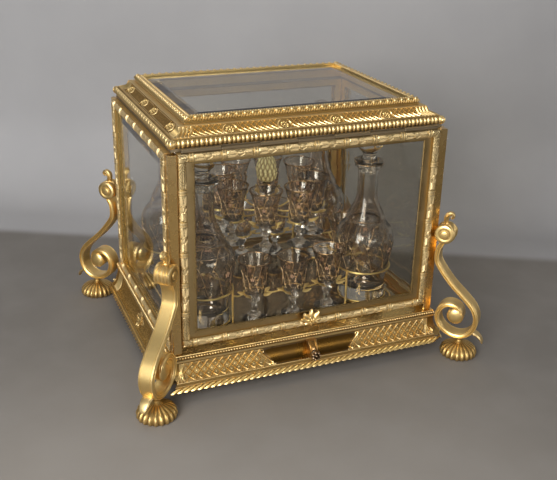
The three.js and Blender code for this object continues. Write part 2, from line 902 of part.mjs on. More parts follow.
function buildLid() {
  add("lid_rim", geometryOf(lidRim()), finish.gilt);
  add("lid_frieze", lidFrieze(), finish.gilt);
  add("lid_top_frame", lidTopFrame(), finish.gilt);
  const halfX = halfWidth - topFrameInner - fit;
  const halfY = halfDepth - topFrameInner - fit;
  const seat = friezeTop + fit;
  const glass = pane(halfX, halfY, lidPaneThickness, lidBevelWidth, paneBevelDepth);
  add("lid_glass", glass, finish.pane, [0, 0, seat]);

  const leaf = knuckles(lidHingeLength, lidKnuckleCount, 0, lidKnuckleRadius, lidPinRadius + fit, [
    halfDepth - skirtInset + fit - lidHingeY,
    0,
    postTop + fit - lidHingeHeight,
    postTop + fit + lidLeafThickness - lidHingeHeight
  ]);
  const strip = block(
    -lidHingeLength / 2,
    lidHingeLength / 2,
    halfDepth - skirtInset + fit - lidHingeY,
    -lidKnuckleRadius - fit,
    postTop + fit - lidHingeHeight,
    postTop + fit + lidLeafThickness - lidHingeHeight
  );
  const hingePlace = [0, lidHingeY, lidHingeHeight];
  const leafBody = cut(join([strip, ...leaf.pieces]), [leaf.bore]);
  add("lid_hinge_leaf", geometryOf(leafBody), finish.gilt, hingePlace);
  add("lid_hinge_pin", alongX(lidPinRadius, lidHingeLength, pinSides, [0, 0, 0]), finish.steel, hingePlace);
}

// Front flap

function flapFrame() {
  const halfX = flapWidth / 2;
  const halfY = (flapTop - flapBottom) / 2;
  const section = [[0, -flapBack], ...halfRound(mouldWidth, mouldRise), [-mouldWidth, -flapBack]];
  const ring = solid(mitredRing(section, halfX, halfY));
  const slipFront = -flapSlipDepth;
  const slipBack = -flapSlipDepth - slipThickness;
  const slip = block(
    -halfX + mouldWidth - fit,
    halfX - mouldWidth + fit,
    -halfY + mouldWidth - fit,
    halfY - mouldWidth + fit,
    slipBack,
    slipFront
  );
  const sight = block(
    -halfX + mouldWidth + flapSideSlip,
    halfX - mouldWidth - flapSideSlip,
    -halfY + mouldWidth + flapBottomSlip,
    halfY - mouldWidth - flapTopSlip,
    slipBack - overrun,
    slipFront + overrun
  );
  const frame = ring.add(cut(solid(slip), [sight]));
  const stoodUp = solid(moved(geometryOf(frame), [0, -flapPlane, (flapTop + flapBottom) / 2], upright));
  const hinge = knuckles(flapHingeLength, flapKnuckleCount, 1, flapKnuckleRadius, flapPinRadius + fit, [
    -flapKnuckleRadius / 2,
    flapKnuckleRadius / 2,
    flapTop - fit - flapHingeHeight,
    -flapKnuckleRadius / 2
  ]);
  const place = [0, flapHingeY, flapHingeHeight];
  const whole = stoodUp.add(join(hinge.pieces.map((piece) => moved(piece, place))));
  return cut(whole, [moved(hinge.bore, place)]);
}

function buildFlap() {
  add("flap_frame", geometryOf(flapFrame()), finish.gilt);
  const middle = (flapTop + flapBottom) / 2;
  const halfX = flapWidth / 2 - mouldWidth - fit;
  const halfY = (flapTop - flapBottom) / 2 - mouldWidth - fit;
  const glass = pane(halfX, halfY, flapPaneThickness, flapSideSlip + paneBevelWidth, paneBevelDepth);
  const glassBack = -flapSlipDepth - slipThickness - fit - flapPaneThickness;
  add("flap_glass", moved(glass, [0, 0, glassBack]), finish.pane, [0, -flapPlane, middle], upright);
  const front = -flapPlane - mouldRise - fit;
  const pull = slab(pullShares.map(([x, z]) => [x * pullWidth, z * pullHeight]), pullThickness);
  add("flap_pull", pull, finish.gilt, [0, front - pullThickness / 2, flapBottom + fit]);
  const pin = alongX(flapPinRadius, flapHingeLength, pinSides, [0, 0, 0]);
  add("flap_hinge_pin", pin, finish.steel, [0, flapHingeY, flapHingeHeight]);
}

// Service stand, with its decanters and glasses: all in a group shifted with the stand

const glassPlaces = [
  ...[-1, 1].flatMap((side) => [
    { x: -glassRow, y: side * glassRowDepth, z: vesselBase, open: side * 90 },
    { x: 0, y: side * middleGlassDepth, z: vesselBase, open: side * 90 },
    { x: glassRow, y: side * glassRowDepth, z: vesselBase, open: side * 90 }
  ]),
  { x: -sideGlassRow, y: 0, z: vesselBase, open: 180 },
  { x: sideGlassRow, y: 0, z: vesselBase, open: 0 },
  ...Array.from({ length: upperGlassCount }, (_, i) => {
    const angle = ((i + 1 / 2) * fullTurn) / upperGlassCount;
    const x = upperGlassRadius * Math.cos(THREE.MathUtils.degToRad(angle));
    const y = upperGlassRadius * Math.sin(THREE.MathUtils.degToRad(angle));
    return { x, y, z: vesselBase + upperGlassRise, open: angle };
  })
];

// Wire bent in a level arc: it is closed on itself for a whole turn and has flat ends otherwise.
function wireArc(centre, radius, wire, from, sweep, steps) {
  const whole = sweep === fullTurn;
  const rings = [];
  for (let i = 0; i < steps + (whole ? 0 : 1); i++) {
    const angle = THREE.MathUtils.degToRad(from + (sweep * i) / steps);
    const ring = [];
    for (let j = 0; j < wireSides; j++) {
      const around = (2 * Math.PI * j) / wireSides;
      const r = radius + wire * Math.cos(around);
      const x = centre[0] + r * Math.cos(angle);
      const y = centre[1] + r * Math.sin(angle);
      ring.push(new THREE.Vector3(x, y, centre[2] + wire * Math.sin(around)));
    }
    rings.push(ring);
  }
  return skin(rings, whole);
}

function roundedPlate(halfX, halfY, radius, z0, z1) {
  const turns = [
    [1, 1, 0],
    [-1, 1, 90],
    [-1, -1, 180],
    [1, -1, 270]
  ];
  const points = turns.flatMap(([x, y, from]) =>
    arc(x * (halfX - radius), y * (halfY - radius), radius, radius, from, from + 90, trayCornerSteps)
  );
  const plate = new THREE.ExtrudeGeometry(outline(points), { depth: z1 - z0, bevelEnabled: false });
  return moved(plate, [0, 0, z0]);
}

function linkBetween(a, b, radiusA, radiusB) {
  const start = new THREE.Vector3(...a);
  const end = new THREE.Vector3(...b);
  const flat = end.clone().sub(start).setZ(0).normalize();
  start.addScaledVector(flat, radiusA);
  end.addScaledVector(flat, -radiusB);
  return rod(start.toArray(), end.toArray(), linkRadius, wireSides);
}

function buildStand(group) {
  const trayX = decanterRow + decanterRadius - trayMargin;
  const trayY = middleGlassDepth + glassRadius - trayMargin / 4;
  const pieces = [roundedPlate(trayX, trayY, decanterRadius - trayMargin, trayBottom, trayTop)];
  const forkLevel = (place) => place.z + forkRise;
  const angle = THREE.MathUtils.degToRad(uprightAngle);
  for (const x of [-1, 1]) {
    for (const y of [-1, 1]) {
      const foot = [x * decanterRow, y * decanterDepth];
      const footBlock = new THREE.CylinderGeometry(trayFootRadius, trayFootRadius, trayFootHeight, pinSides);
      pieces.push(moved(footBlock, [...foot, trayBottom - trayFootHeight / 2 + fit], upright));
      pieces.push(wireArc([...foot, ringHeight], ringRadius, ringWire, 0, fullTurn, ringSteps));
      const uprightX = foot[0] + x * ringRadius * Math.cos(angle);
      const uprightY = foot[1] - y * ringRadius * Math.sin(angle);
      const uprightFoot = [uprightX, uprightY, trayTop - fit];
      const uprightHead = [uprightX, uprightY, ringHeight + ringWire];
      pieces.push(rod(uprightFoot, uprightHead, uprightRadius, 6));
      const nextGlass = [x * glassRow, y * glassRowDepth, vesselBase + forkRise];
      pieces.push(linkBetween([uprightX, uprightY, vesselBase + forkRise], nextGlass, 0, forkRadius));
      const middleGlass = [0, y * middleGlassDepth, vesselBase + forkRise];
      pieces.push(linkBetween(nextGlass, middleGlass, forkRadius, forkRadius));
      const sideGlass = [x * sideGlassRow, 0, vesselBase + forkRise];
      pieces.push(linkBetween(sideGlass, [...foot, ringHeight], forkRadius, ringRadius));
    }
  }
  for (const place of glassPlaces) {
    const from = place.open + forkOpening / 2;
    const centreOf = [place.x, place.y, forkLevel(place)];
    pieces.push(wireArc(centreOf, forkRadius, forkWire, from, fullTurn - forkOpening, forkSteps));
    if (place.z > vesselBase) {
      const centre = [0, 0, forkLevel(place)];
      pieces.push(linkBetween(centre, centreOf, 0, forkRadius));
    }
  }
  const finialFoot = vesselBase + finialRise;
  pieces.push(rod([0, 0, trayTop - fit], [0, 0, finialFoot], stemWire, 8));
  const finial = [
    [0, finialFoot - stemWire],
    ...scaled(finialProfileShares, finialRadius, finialHeight, finialFoot),
    [0, finialFoot + finialHeight]
  ];
  pieces.push(turned(finial, 12));
  add("service_stand", geometryOf(join(pieces)), finish.polished, [0, 0, 0], [0, 0, 0], group);
}

function buildVessels(group) {
  const decanter = [
    [0, 0],
    ...scaled(decanterProfileShares, decanterRadius, decanterHeight),
    ...scaled(decanterHollowShares, decanterRadius, decanterHeight),
    [0, decanterFloorShare * decanterHeight]
  ];
  const plugRadius = decanterHollowShares[0][0] * decanterRadius - plugGap;
  const shoulderRadius = plugRadius + shoulderOverlap;
  const stopper = [
    [0, -plugLength],
    [plugRadius - plugTaper, -plugLength],
    [plugRadius, fit],
    [shoulderRadius, fit],
    [shoulderRadius, shoulderHeight],
    ...scaled(stopperProfileShares, stopperRadius, stopperHeight),
    [0, stopperHeight]
  ];
  for (const { name, x, y } of corners) {
    const place = [x * decanterRow, y * decanterDepth, vesselBase];
    add("decanter_" + name, turned(decanter, decanterSides), finish.crystal, place, [0, 0, 0], group);
    const lip = [place[0], place[1], vesselBase + decanterHeight];
    add("stopper_" + name, turned(stopper, stopperSides), finish.crystal, lip, [0, 0, 0], group);
  }
  const glass = [
    [0, 0],
    ...scaled(glassProfileShares, glassRadius, glassHeight),
    ...scaled(glassHollowShares, glassRadius, glassHeight),
    [0, glassFloorShare * glassHeight]
  ];
  glassPlaces.forEach(({ x, y, z }, i) => {
    const tier = z > vesselBase ? "upper" : "lower";
    const number = z > vesselBase ? i - glassPlaces.length / 2 + 1 : i + 1;
    const name = "glass_" + tier + "_" + number;
    add(name, turned(glass, glassSides), finish.crystal, [x, y, z], [0, 0, 0], group);
  });
}

const service = new THREE.Group();
service.position.x = standShift;
cabinet.add(service);

buildBase();
buildSides();
buildLegs();
buildLid();
buildFlap();
buildStand(service);
buildVessels(service);
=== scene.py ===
"""Looks for a glazed gilt liqueur cabinet on four scroll legs, built round its fixed CAD frame.

Every function that makes a shape works in millimetres, in the cabinet's own frame: +Z is up, the front faces -Y and
the ground is Z = 0. A finished piece is in metres, with its object at the origin.
"""

import math
from functools import cache, partialmethod

import bmesh
import bpy
from mathutils import Matrix, Vector


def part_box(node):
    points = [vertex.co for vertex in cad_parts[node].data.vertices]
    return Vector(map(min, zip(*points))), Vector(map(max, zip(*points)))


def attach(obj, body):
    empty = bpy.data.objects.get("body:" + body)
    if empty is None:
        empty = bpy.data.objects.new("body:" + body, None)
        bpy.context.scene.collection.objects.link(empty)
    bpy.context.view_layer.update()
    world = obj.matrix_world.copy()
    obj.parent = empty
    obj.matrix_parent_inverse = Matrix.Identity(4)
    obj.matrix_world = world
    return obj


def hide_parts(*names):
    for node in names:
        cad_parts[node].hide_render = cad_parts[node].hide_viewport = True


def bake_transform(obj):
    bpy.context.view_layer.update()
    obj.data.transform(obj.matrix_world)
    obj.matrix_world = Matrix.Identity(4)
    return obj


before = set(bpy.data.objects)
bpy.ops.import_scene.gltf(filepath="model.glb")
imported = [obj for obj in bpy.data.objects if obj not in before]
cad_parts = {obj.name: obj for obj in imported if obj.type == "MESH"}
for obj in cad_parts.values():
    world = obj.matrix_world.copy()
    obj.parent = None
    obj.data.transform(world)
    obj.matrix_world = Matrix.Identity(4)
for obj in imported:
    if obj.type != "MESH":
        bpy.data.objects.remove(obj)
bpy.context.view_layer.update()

bl_info = {
    "name": "Liqueur cabinet",
    "version": (1, 0, 0),
    "blender": (4, 5, 0),
    "location": "3D View > Sidebar > Cabinet",
    "description": "Builds the ornament, glass and finishes of a gilt liqueur cabinet on its CAD frame",
    "category": "Object",
}

MM = 0.001
TAU = 2 * math.pi
UP = Vector((0, 0, 1))


# ---------------------------------------------------------------- measures read from the frame


def span(node):
    """Lowest and highest corner of a CAD node in millimetres."""
    low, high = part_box(node)
    return low / MM, high / MM


POST_LOW, POST_HIGH = span("post_front_right")
HALF_X = POST_HIGH.x
HALF_Y = -POST_LOW.y
POST = POST_HIGH.x - POST_LOW.x
BASE_LOW, BASE_HIGH = span("base_moulding")
BASE_OUT = BASE_HIGH.x - HALF_X
PLATE_LOW, PLATE_HIGH = span("base_top_plate")
PLATE_OUT = PLATE_HIGH.x - HALF_X
TRAY_LOW, TRAY_HIGH = span("service_stand")
PULL_LOW, PULL_HIGH = span("flap_pull")
RIM_LOW = span("lid_rim")[0]
FRIEZE_LOW, FRIEZE_HIGH = span("lid_frieze")
TOP_LOW, TOP_HIGH = span("lid_top_frame")
SCREEN_LOW, SCREEN_HIGH = span("left_frame")

CORNERS = {
    "front_left": (-1, -1),
    "front_right": (1, -1),
    "back_left": (-1, 1),
    "back_right": (1, 1),
}
SIDES = {
    "front": (Vector((1, 0, 0)), Vector((0, -1, 0)), HALF_X, HALF_Y),
    "right": (Vector((0, 1, 0)), Vector((1, 0, 0)), HALF_Y, HALF_X),
    "back": (Vector((-1, 0, 0)), Vector((0, 1, 0)), HALF_X, HALF_Y),
    "left": (Vector((0, -1, 0)), Vector((-1, 0, 0)), HALF_Y, HALF_X),
}


def on_side(side, along, out, up):
    """Point on one side of the case: along it, outward from its plane, and up from the ground."""
    run, away, _, distance = SIDES[side]
    return run * along + away * (distance + out) + UP * up


def level(side, reach, out, up):
    """Both ends of a level line along a side."""
    return [on_side(side, end, out, up) for end in (-reach, reach)]


# ---------------------------------------------------------------- shapes


class Shape:
    """A mesh in the making, in millimetres. Each point knows how deep in grime and painted shade it lies, from 0 to 1.
    """

    def __init__(self):
        self.points, self.grime = [], []
        self.faces, self.corners, self.slots = [], [], []

    def add(self, points, faces, corners=None, grime=0.0, slot=0):
        start = len(self.points)
        self.points.extend(Vector(p) for p in points)
        self.grime.extend(grime if isinstance(grime, list) else [grime] * len(points))
        for i, face in enumerate(faces):
            self.faces.append([start + k for k in face])
            self.corners.append(corners[i] if corners else [(0.0, 0.0)] * len(face))
            self.slots.append(slot[i] if isinstance(slot, list) else slot)
        return self

    def merge(self, other, place):
        start = len(self.points)
        self.points.extend(place @ p for p in other.points)
        self.grime.extend(other.grime)
        self.faces.extend([start + k for k in face] for face in other.faces)
        self.corners.extend(other.corners)
        self.slots.extend(other.slots)
        return self


def skin(shape, rows, around=True, along=False, ends=True, v=None, grime=0.0, slot=0):
    """Skin through rows of points. A row whose points all coincide is a pole.

    The darkness of grime and painted shade is a number or a function of row and column, and slot is a number or a
    function of the row.
    """
    count, turns = len(rows), len(rows[0])
    u = [j / (turns if around else turns - 1) for j in range(turns + 1)]
    v = v or [i / max(1, count - 1 + along) for i in range(count + 1)]
    points, depth, index = [], [], []
    for i, row in enumerate(rows):
        first = Vector(row[0])
        pole = all((Vector(p) - first).length < 1e-5 for p in row)
        for j, point in enumerate(row):
            if pole and j:
                index.append(index[-1])
                continue
            index.append(len(points))
            points.append(point)
            depth.append(grime(i, j) if callable(grime) else grime)
    faces, corners, slots = [], [], []

    def face(loop, i):
        kept, seen = [], set()
        for key, mark in loop:
            if key not in seen:
                seen.add(key)
                kept.append((key, mark))
        if len(kept) > 2:
            faces.append([key for key, _ in kept])
            corners.append([mark for _, mark in kept])
            slots.append(slot(i) if callable(slot) else slot)

    for i in range(count if along else count - 1):
        n = (i + 1) % count
        for j in range(turns if around else turns - 1):
            k = (j + 1) % turns
            face([
                (index[i * turns + j], (u[j], v[i])),
                (index[i * turns + k], (u[j + 1], v[i])),
                (index[n * turns + k], (u[j + 1], v[i + 1])),
                (index[n * turns + j], (u[j], v[i + 1])),
            ], i)
    if ends and around and not along:
        for i in (0, count - 1):
            face([(index[i * turns + j], (u[j], v[i])) for j in range(turns)], i)
    return shape.add(points, faces, corners, depth, slots)


def tidy(mesh, sharp):
    """Faces outward, smooth, with a crease wherever the surface turns by more than sharp degrees."""
    work = bmesh.new()
    work.from_mesh(mesh)
    bmesh.ops.recalc_face_normals(work, faces=work.faces)
    work.to_mesh(mesh)
    work.free()
    mesh.shade_smooth()
    mesh.set_sharp_from_angle(angle=math.radians(sharp))
    return mesh


def link(name, mesh):
    piece = bpy.data.objects.new(name, mesh)
    bpy.context.scene.collection.objects.link(piece)
    return piece


def drop(piece):
    mesh = piece.data
    bpy.data.objects.remove(piece)
    if mesh.users == 0:
        bpy.data.meshes.remove(mesh)


def store(mesh, name, kind, key, values):
    """A named attribute on a mesh's points."""
    mesh.attributes.new(name, kind, "POINT").data.foreach_set(key, values)


def make(name, shape, finishes, sharp=32):
    """A mesh object from a shape, with its UV map and its attribute of grime and painted shade."""
    mesh = bpy.data.meshes.new(name)
    mesh.from_pydata([p * MM for p in shape.points], [], shape.faces)
    for finish in finishes:
        mesh.materials.append(finish)
    mesh.polygons.foreach_set("material_index", shape.slots)
    layer = mesh.uv_layers.new(name="UVMap")
    layer.data.foreach_set("uv", [c for face in shape.corners for mark in face for c in mark])
    store(mesh, "grime", "FLOAT", "value", shape.grime)
    return link(name, tidy(mesh, sharp))


def fit_on(piece, body, slot, *nodes):
    """The piece moves with a CAD body and stands for the nodes it replaces. Its slot is not used."""
    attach(piece, body)
    if nodes:
        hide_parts(*nodes)
    return piece


def dress(name, shape, finishes, body, slot, *nodes, sharp=32):
    """A finished piece from a shape, in the named finishes, fitted on a body."""
    return fit_on(make(name, shape, [finish(each) for each in finishes], sharp), body, slot, *nodes)


def strung(name, body, lines, form, pitch, coat, slot="gilt", closed=False):
    """A form repeated along lines at a pitch, as one piece fitted on a body. Each line is (points, away)."""
    helper = make(name + "_form", form, [])
    base = lines_object(name + "_lines", [(points, away, 1.0, closed) for points, away in lines])
    inputs = {"Form": helper, "Pitch": pitch * MM, "Size": 1.0, "Finish": finish(coat)}
    return fit_on(grow(name, base, repeating_tree, inputs, helpers=[helper]), body, slot)


def shares(count):
    """Shares from 0 to 1 in equal steps."""
    return [i / count for i in range(count + 1)]


def straight(x0, d0, x1, d1, count):
    """Points of a straight line on a surface."""
    return [(x0 + (x1 - x0) * t, d0 + (d1 - d0) * t) for t in shares(count)]


def swung(x0, d0, x1, d1, count):
    """Points of a line that sets out aslant and ends upright."""
    return [(x0 + (x1 - x0) * math.sin(0.5 * math.pi * t), d0 + (d1 - d0) * t) for t in shares(count)]


def circle(centre, radius, height, turns):
    """Points of a level circle round a centre."""
    turn = [TAU * j / turns for j in range(turns)]
    return [centre + Vector((radius * math.cos(a), radius * math.sin(a), height)) for a in turn]


def lathe(shape, profile, turns, centre=(0, 0, 0), grime=0.0):
    """Turned form about a vertical axis. profile is [radius, height] from pole to pole."""
    rows = [circle(Vector(centre), radius, height, turns) for radius, height in profile]
    v = [height for _, height in profile] + [profile[0][1]]
    return skin(shape, rows, v=v, grime=grime)


def rounded(points, steps=5):
    """Centripetal spline through points, which keeps their order and ends."""
    points = [Vector(p) for p in points]
    ends = [2 * points[0] - points[1], *points, 2 * points[-1] - points[-2]]
    line = []
    for i in range(len(points) - 1):
        p0, p1, p2, p3 = ends[i : i + 4]
        t1 = max((p1 - p0).length, 1e-9) ** 0.5
        t2 = t1 + max((p2 - p1).length, 1e-9) ** 0.5
        t3 = t2 + max((p3 - p2).length, 1e-9) ** 0.5
        for k in range(steps):
            t = t1 + (t2 - t1) * k / steps
            a1 = p0 * ((t1 - t) / t1) + p1 * (t / t1)
            a2 = p1 * ((t2 - t) / (t2 - t1)) + p2 * ((t - t1) / (t2 - t1))
            a3 = p2 * ((t3 - t) / (t3 - t2)) + p3 * ((t - t2) / (t3 - t2))
            b1 = a1 * ((t2 - t) / t2) + a2 * (t / t2)
            b2 = a2 * ((t3 - t) / (t3 - t1)) + a3 * ((t - t1) / (t3 - t1))
            line.append(b1 * ((t2 - t) / (t2 - t1)) + b2 * ((t - t1) / (t2 - t1)))
    return [*line, points[-1]]


def evenly(line, count):
    """The same line cut into count equal steps."""
    marks = [0.0]
    for a, b in zip(line, line[1:]):
        marks.append(marks[-1] + (b - a).length)
    out, k = [], 0
    for i in range(count + 1):
        want = marks[-1] * i / count
        while k < len(marks) - 2 and marks[k + 1] < want:
            k += 1
        share = (want - marks[k]) / max(marks[k + 1] - marks[k], 1e-9)
        out.append(line[k].lerp(line[k + 1], min(1.0, share)))
    return out


def arc(centre, radii, start, stop, steps):
    """Points of an arc of an ellipse, from one angle in degrees to another."""
    return [
        (centre[0] + radii[0] * math.cos(a), centre[1] + radii[1] * math.sin(a))
        for a in (math.radians(start + (stop - start) * i / steps) for i in range(steps + 1))
    ]


class Band:
    """A face of a moulding, given by its [outward, up] section and read by the distance along that section."""

    def __init__(self, section):
        self.section = [Vector(p) for p in section]
        self.marks = [0.0]
        for a, b in zip(self.section, self.section[1:]):
            self.marks.append(self.marks[-1] + (b - a).length)
        self.length = self.marks[-1]

    def at(self, distance, lift=0.0):
        k = 0
        while k < len(self.marks) - 2 and self.marks[k + 1] < distance:
            k += 1
        a, b = self.section[k], self.section[k + 1]
        step = (b - a).normalized()
        point = a + step * (distance - self.marks[k]) + Vector((step.y, -step.x)) * lift
        return point.x, point.y

    def local(self):
        """Placing function for a form that is repeated along a path: local X along, Y up and Z outward."""
        return lambda x, d, lift: Vector((x, self.at(d, lift)[1], self.at(d, lift)[0]))

    def beside(self, side, hand=1):
        """Placing function for ornament on one side of the case; hand is -1 for its mirror image."""
        return lambda x, d, lift: on_side(side, hand * x, *self.at(d, lift))


def ridge(shape, place, line, width, rise, grime=0.85, steps=4, under=0.3, sharpness=1.0, slot=0):
    """A raised rib on a surface, along a line of [along, distance] points.

    width and rise are numbers or functions of the share of the line, and steps is how many faces it has across.
    """
    count = len(line)
    rows = []
    for i, (x, d) in enumerate(line):
        share = i / (count - 1)
        before, after = line[max(0, i - 1)], line[min(count - 1, i + 1)]
        step = Vector((after[0] - before[0], after[1] - before[1])).normalized()
        across = Vector((-step.y, step.x))
        w = (width(share) if callable(width) else width) / 2
        h = rise(share) if callable(rise) else rise
        row = []
        for k in range(steps + 1):
            s = 2 * k / steps - 1
            row.append(place(x + across.x * w * s, d + across.y * w * s, h * (1 - abs(s) ** (1 + sharpness))))
        row.append(place(x + across.x * w, d + across.y * w, -under))
        row.append(place(x - across.x * w, d - across.y * w, -under))
        rows.append(row)
    deep = lambda i, j: grime if j in (0, steps) or j > steps else grime * 0.25 * abs(2 * j / steps - 1)
    return skin(shape, rows, grime=deep, slot=slot)


def plump(share):
    """Width of a leaf or lobe along its length: narrow at both ends."""
    return max(0.06, math.sin(math.pi * min(1.0, 0.12 + 0.88 * share)) ** 0.7)


def swelling(most, least=0.0):
    """Width or rise that follows a leaf, from least at its ends to most and least together."""
    return lambda share: least + most * plump(share)


def rosette(radius, rise, petals, turns=40, heart=0.32):
    """A flower seen from its front, in the XY plane, with a domed heart."""
    shape = Shape()
    rings = [0.0, 0.5 * heart, heart, heart * 1.18, 0.55, 0.72, 0.86, 0.96, 1.0]
    rows, deep = [], []
    for k, share in enumerate(rings):
        row, dim = [], []
        for j in range(turns):
            angle = TAU * j / turns
            lobe = abs(math.cos(petals * angle / 2))
            if share <= heart:
                height, reach = rise * (1.05 - 0.75 * (share / heart) ** 2), share
                dirt_and_shade = 0.9 if share == heart else 0.0
            elif share < 0.5:
                height, reach, dirt_and_shade = rise * 0.25, share, 1.0
            else:
                open_share = (share - 0.5) / 0.5
                height = rise * (0.35 + 0.65 * lobe**0.6 * math.sin(math.pi * min(1, 0.25 + open_share * 0.62)))
                reach = share * (1 - 0.16 * (1 - lobe) * open_share)
                dirt_and_shade = 0.9 * (1 - lobe) ** 1.5
            row.append(Vector((reach * radius * math.cos(angle), reach * radius * math.sin(angle), height)))
            dim.append(dirt_and_shade)
        rows.append(row)
        deep.append(dim)
    rim = rows[-1]
    rows.append([Vector((p.x, p.y, -0.4)) for p in rim])
    deep.append([1.0] * turns)
    return skin(shape, rows, grime=lambda i, j: deep[i][j])


def lodged(band, side, along, distance, turn=0.0, lift=0.0):
    """Placing matrix of an ornament on a side's band: its Z stands out from the surface."""
    place = band.beside(side)
    origin = place(along, distance, lift)
    normal = (place(along, distance, 1.0) - place(along, distance, 0.0)).normalized()
    run = SIDES[side][0]
    up = normal.cross(run).normalized()
    matrix = Matrix((run, up, normal)).transposed().to_4x4()
    matrix.translation = origin
    return matrix @ Matrix.Rotation(turn, 4, "Z")


def mitred(shape, section, half_x, half_y, grime=0.0, slot=0, v=None):
    """Mitred ring of a moulding round a rectangle. Its UV runs along each side in millimetres."""
    for sx, sy, ex, ey in ((-1, -1, 1, -1), (1, -1, 1, 1), (1, 1, -1, 1), (-1, 1, -1, -1)):
        rows = []
        for x, y in ((sx, sy), (ex, ey)):
            rows.append([Vector((x * (half_x + o), y * (half_y + o), z)) for o, z in section])
        half = half_x if sx != ex else half_y
        reach = [half + o for o, _ in section]
        strip(shape, rows, [[-r for r in reach], reach], v, grime, slot)
    return shape


# where a straight run is cut, so that its shading stays even near the ends
PARTS = (0.0, 0.02, 0.1, 0.3, 0.5, 0.7, 0.9, 0.98, 1.0)


def strip(shape, rows, along, v=None, grime=0.0, slot=0):
    """Straight run between two closed sections, in a few parts. Its UV is (distance along, place round the section)."""
    turns = len(rows[0])
    v = v or [j / turns for j in range(turns + 1)]
    ends = [end if isinstance(end, list) else [end] * turns for end in along]
    points = [rows[0][j].lerp(rows[1][j], s) for s in PARTS for j in range(turns)]
    reach = [[start + (stop - start) * s for start, stop in zip(*ends)] for s in PARTS]
    faces, corners, slots = [], [], []
    for i in range(len(PARTS) - 1):
        for j in range(turns):
            k = (j + 1) % turns
            faces.append([i * turns + j, i * turns + k, (i + 1) * turns + k, (i + 1) * turns + j])
            corners.append([
                (reach[i][j], v[j]), (reach[i][k], v[j + 1]), (reach[i + 1][k], v[j + 1]), (reach[i + 1][j], v[j]),
            ])
            slots.append(slot(j) if callable(slot) else slot)
    for i in (0, len(PARTS) - 1):
        faces.append([i * turns + j for j in range(turns)])
        corners.append([(reach[i][j], v[j]) for j in range(turns)])
        slots.append(0)
    deep = [grime(j) if callable(grime) else grime for _ in PARTS for j in range(turns)]
    return shape.add(points, faces, corners, deep, slots)


def chamfered(shape, low, high, cut, grime=0.0, slot=0):
    """A bar with its edges taken off."""
    x0, y0, z0 = low
    x1, y1, z1 = high
    rows = []
    between = [(z0 + (z1 - z0) * s, 0) for s in PARTS[2:-2]]
    for z, inset in ((z0, cut), (z0 + cut, 0), *between, (z1 - cut, 0), (z1, cut)):
        a, b, c, d = x0 + inset, x1 - inset, y0 + inset, y1 - inset
        rows.append([
            (a + cut, c, z), (b - cut, c, z), (b, c + cut, z), (b, d - cut, z),
            (b - cut, d, z), (a + cut, d, z), (a, d - cut, z), (a, c + cut, z),
        ])
    rows = [[Vector(p) for p in row] for row in rows]
    return skin(shape, rows, grime=grime, slot=slot)


# ---------------------------------------------------------------- node trees that repeat and sweep


def tree_with(name, inputs):
    """An empty geometry tree with a Geometry input and output and the named inputs: (tree, wiring, entry)."""
    tree = bpy.data.node_groups.new(name, "GeometryNodeTree")
    tree.interface.new_socket("Geometry", in_out="INPUT", socket_type="NodeSocketGeometry")
    for label, kind in inputs:
        tree.interface.new_socket(label, in_out="INPUT", socket_type=kind)
    tree.interface.new_socket("Geometry", in_out="OUTPUT", socket_type="NodeSocketGeometry")
    w = Wiring(tree)
    return tree, w, w.node("NodeGroupInput").outputs


def coat_and_end(w, geometry, coat):
    """Makes instances real, gives the whole its finish and ends the tree."""
    real = w.node("GeometryNodeRealizeInstances", {0: geometry}).outputs[0]
    coated = w.node("GeometryNodeSetMaterial", {"Geometry": real, "Material": coat}).outputs[0]
    w.node("NodeGroupOutput", {0: coated})


class Wiring:
    """Short hand for adding nodes to a tree and joining them."""

    def __init__(self, tree):
        self.tree = tree

    def node(self, kind, feeds=(), **settings):
        made = self.tree.nodes.new(kind)
        for key, value in settings.items():
            setattr(made, key, value)
        for key, value in dict(feeds).items():
            self.feed(made.inputs[key], value)
        return made

    def feed(self, socket, value):
        if isinstance(value, bpy.types.NodeSocket):
            self.tree.links.new(value, socket)
        else:
            socket.default_value = value

    def math(self, operation, a, b=0.0, clamp=False):
        return self.node("ShaderNodeMath", {0: a, 1: b}, operation=operation, use_clamp=clamp).outputs[0]

    plus = partialmethod(math, "ADD")
    minus = partialmethod(math, "SUBTRACT")
    times = partialmethod(math, "MULTIPLY")
    most = partialmethod(math, "MAXIMUM")

    def scaled(self, a, factor):
        return self.node("ShaderNodeVectorMath", {0: a, "Scale": factor}, operation="SCALE").outputs[0]

    def remap(self, value, low, high, to_low=0.0, to_high=1.0, smooth=False):
        feeds = {"Value": value, "From Min": low, "From Max": high, "To Min": to_low, "To Max": to_high}
        kind = "SMOOTHSTEP" if smooth else "LINEAR"
        return self.node("ShaderNodeMapRange", feeds, interpolation_type=kind).outputs[0]

    def blend(self, factor, a, b):
        return self.node("ShaderNodeMix", {0: factor, 6: a, 7: b}, data_type="RGBA").outputs[2]

    def attribute(self, name, kind):
        return self.node("GeometryNodeInputNamedAttribute", {"Name": name}, data_type=kind).outputs[0]


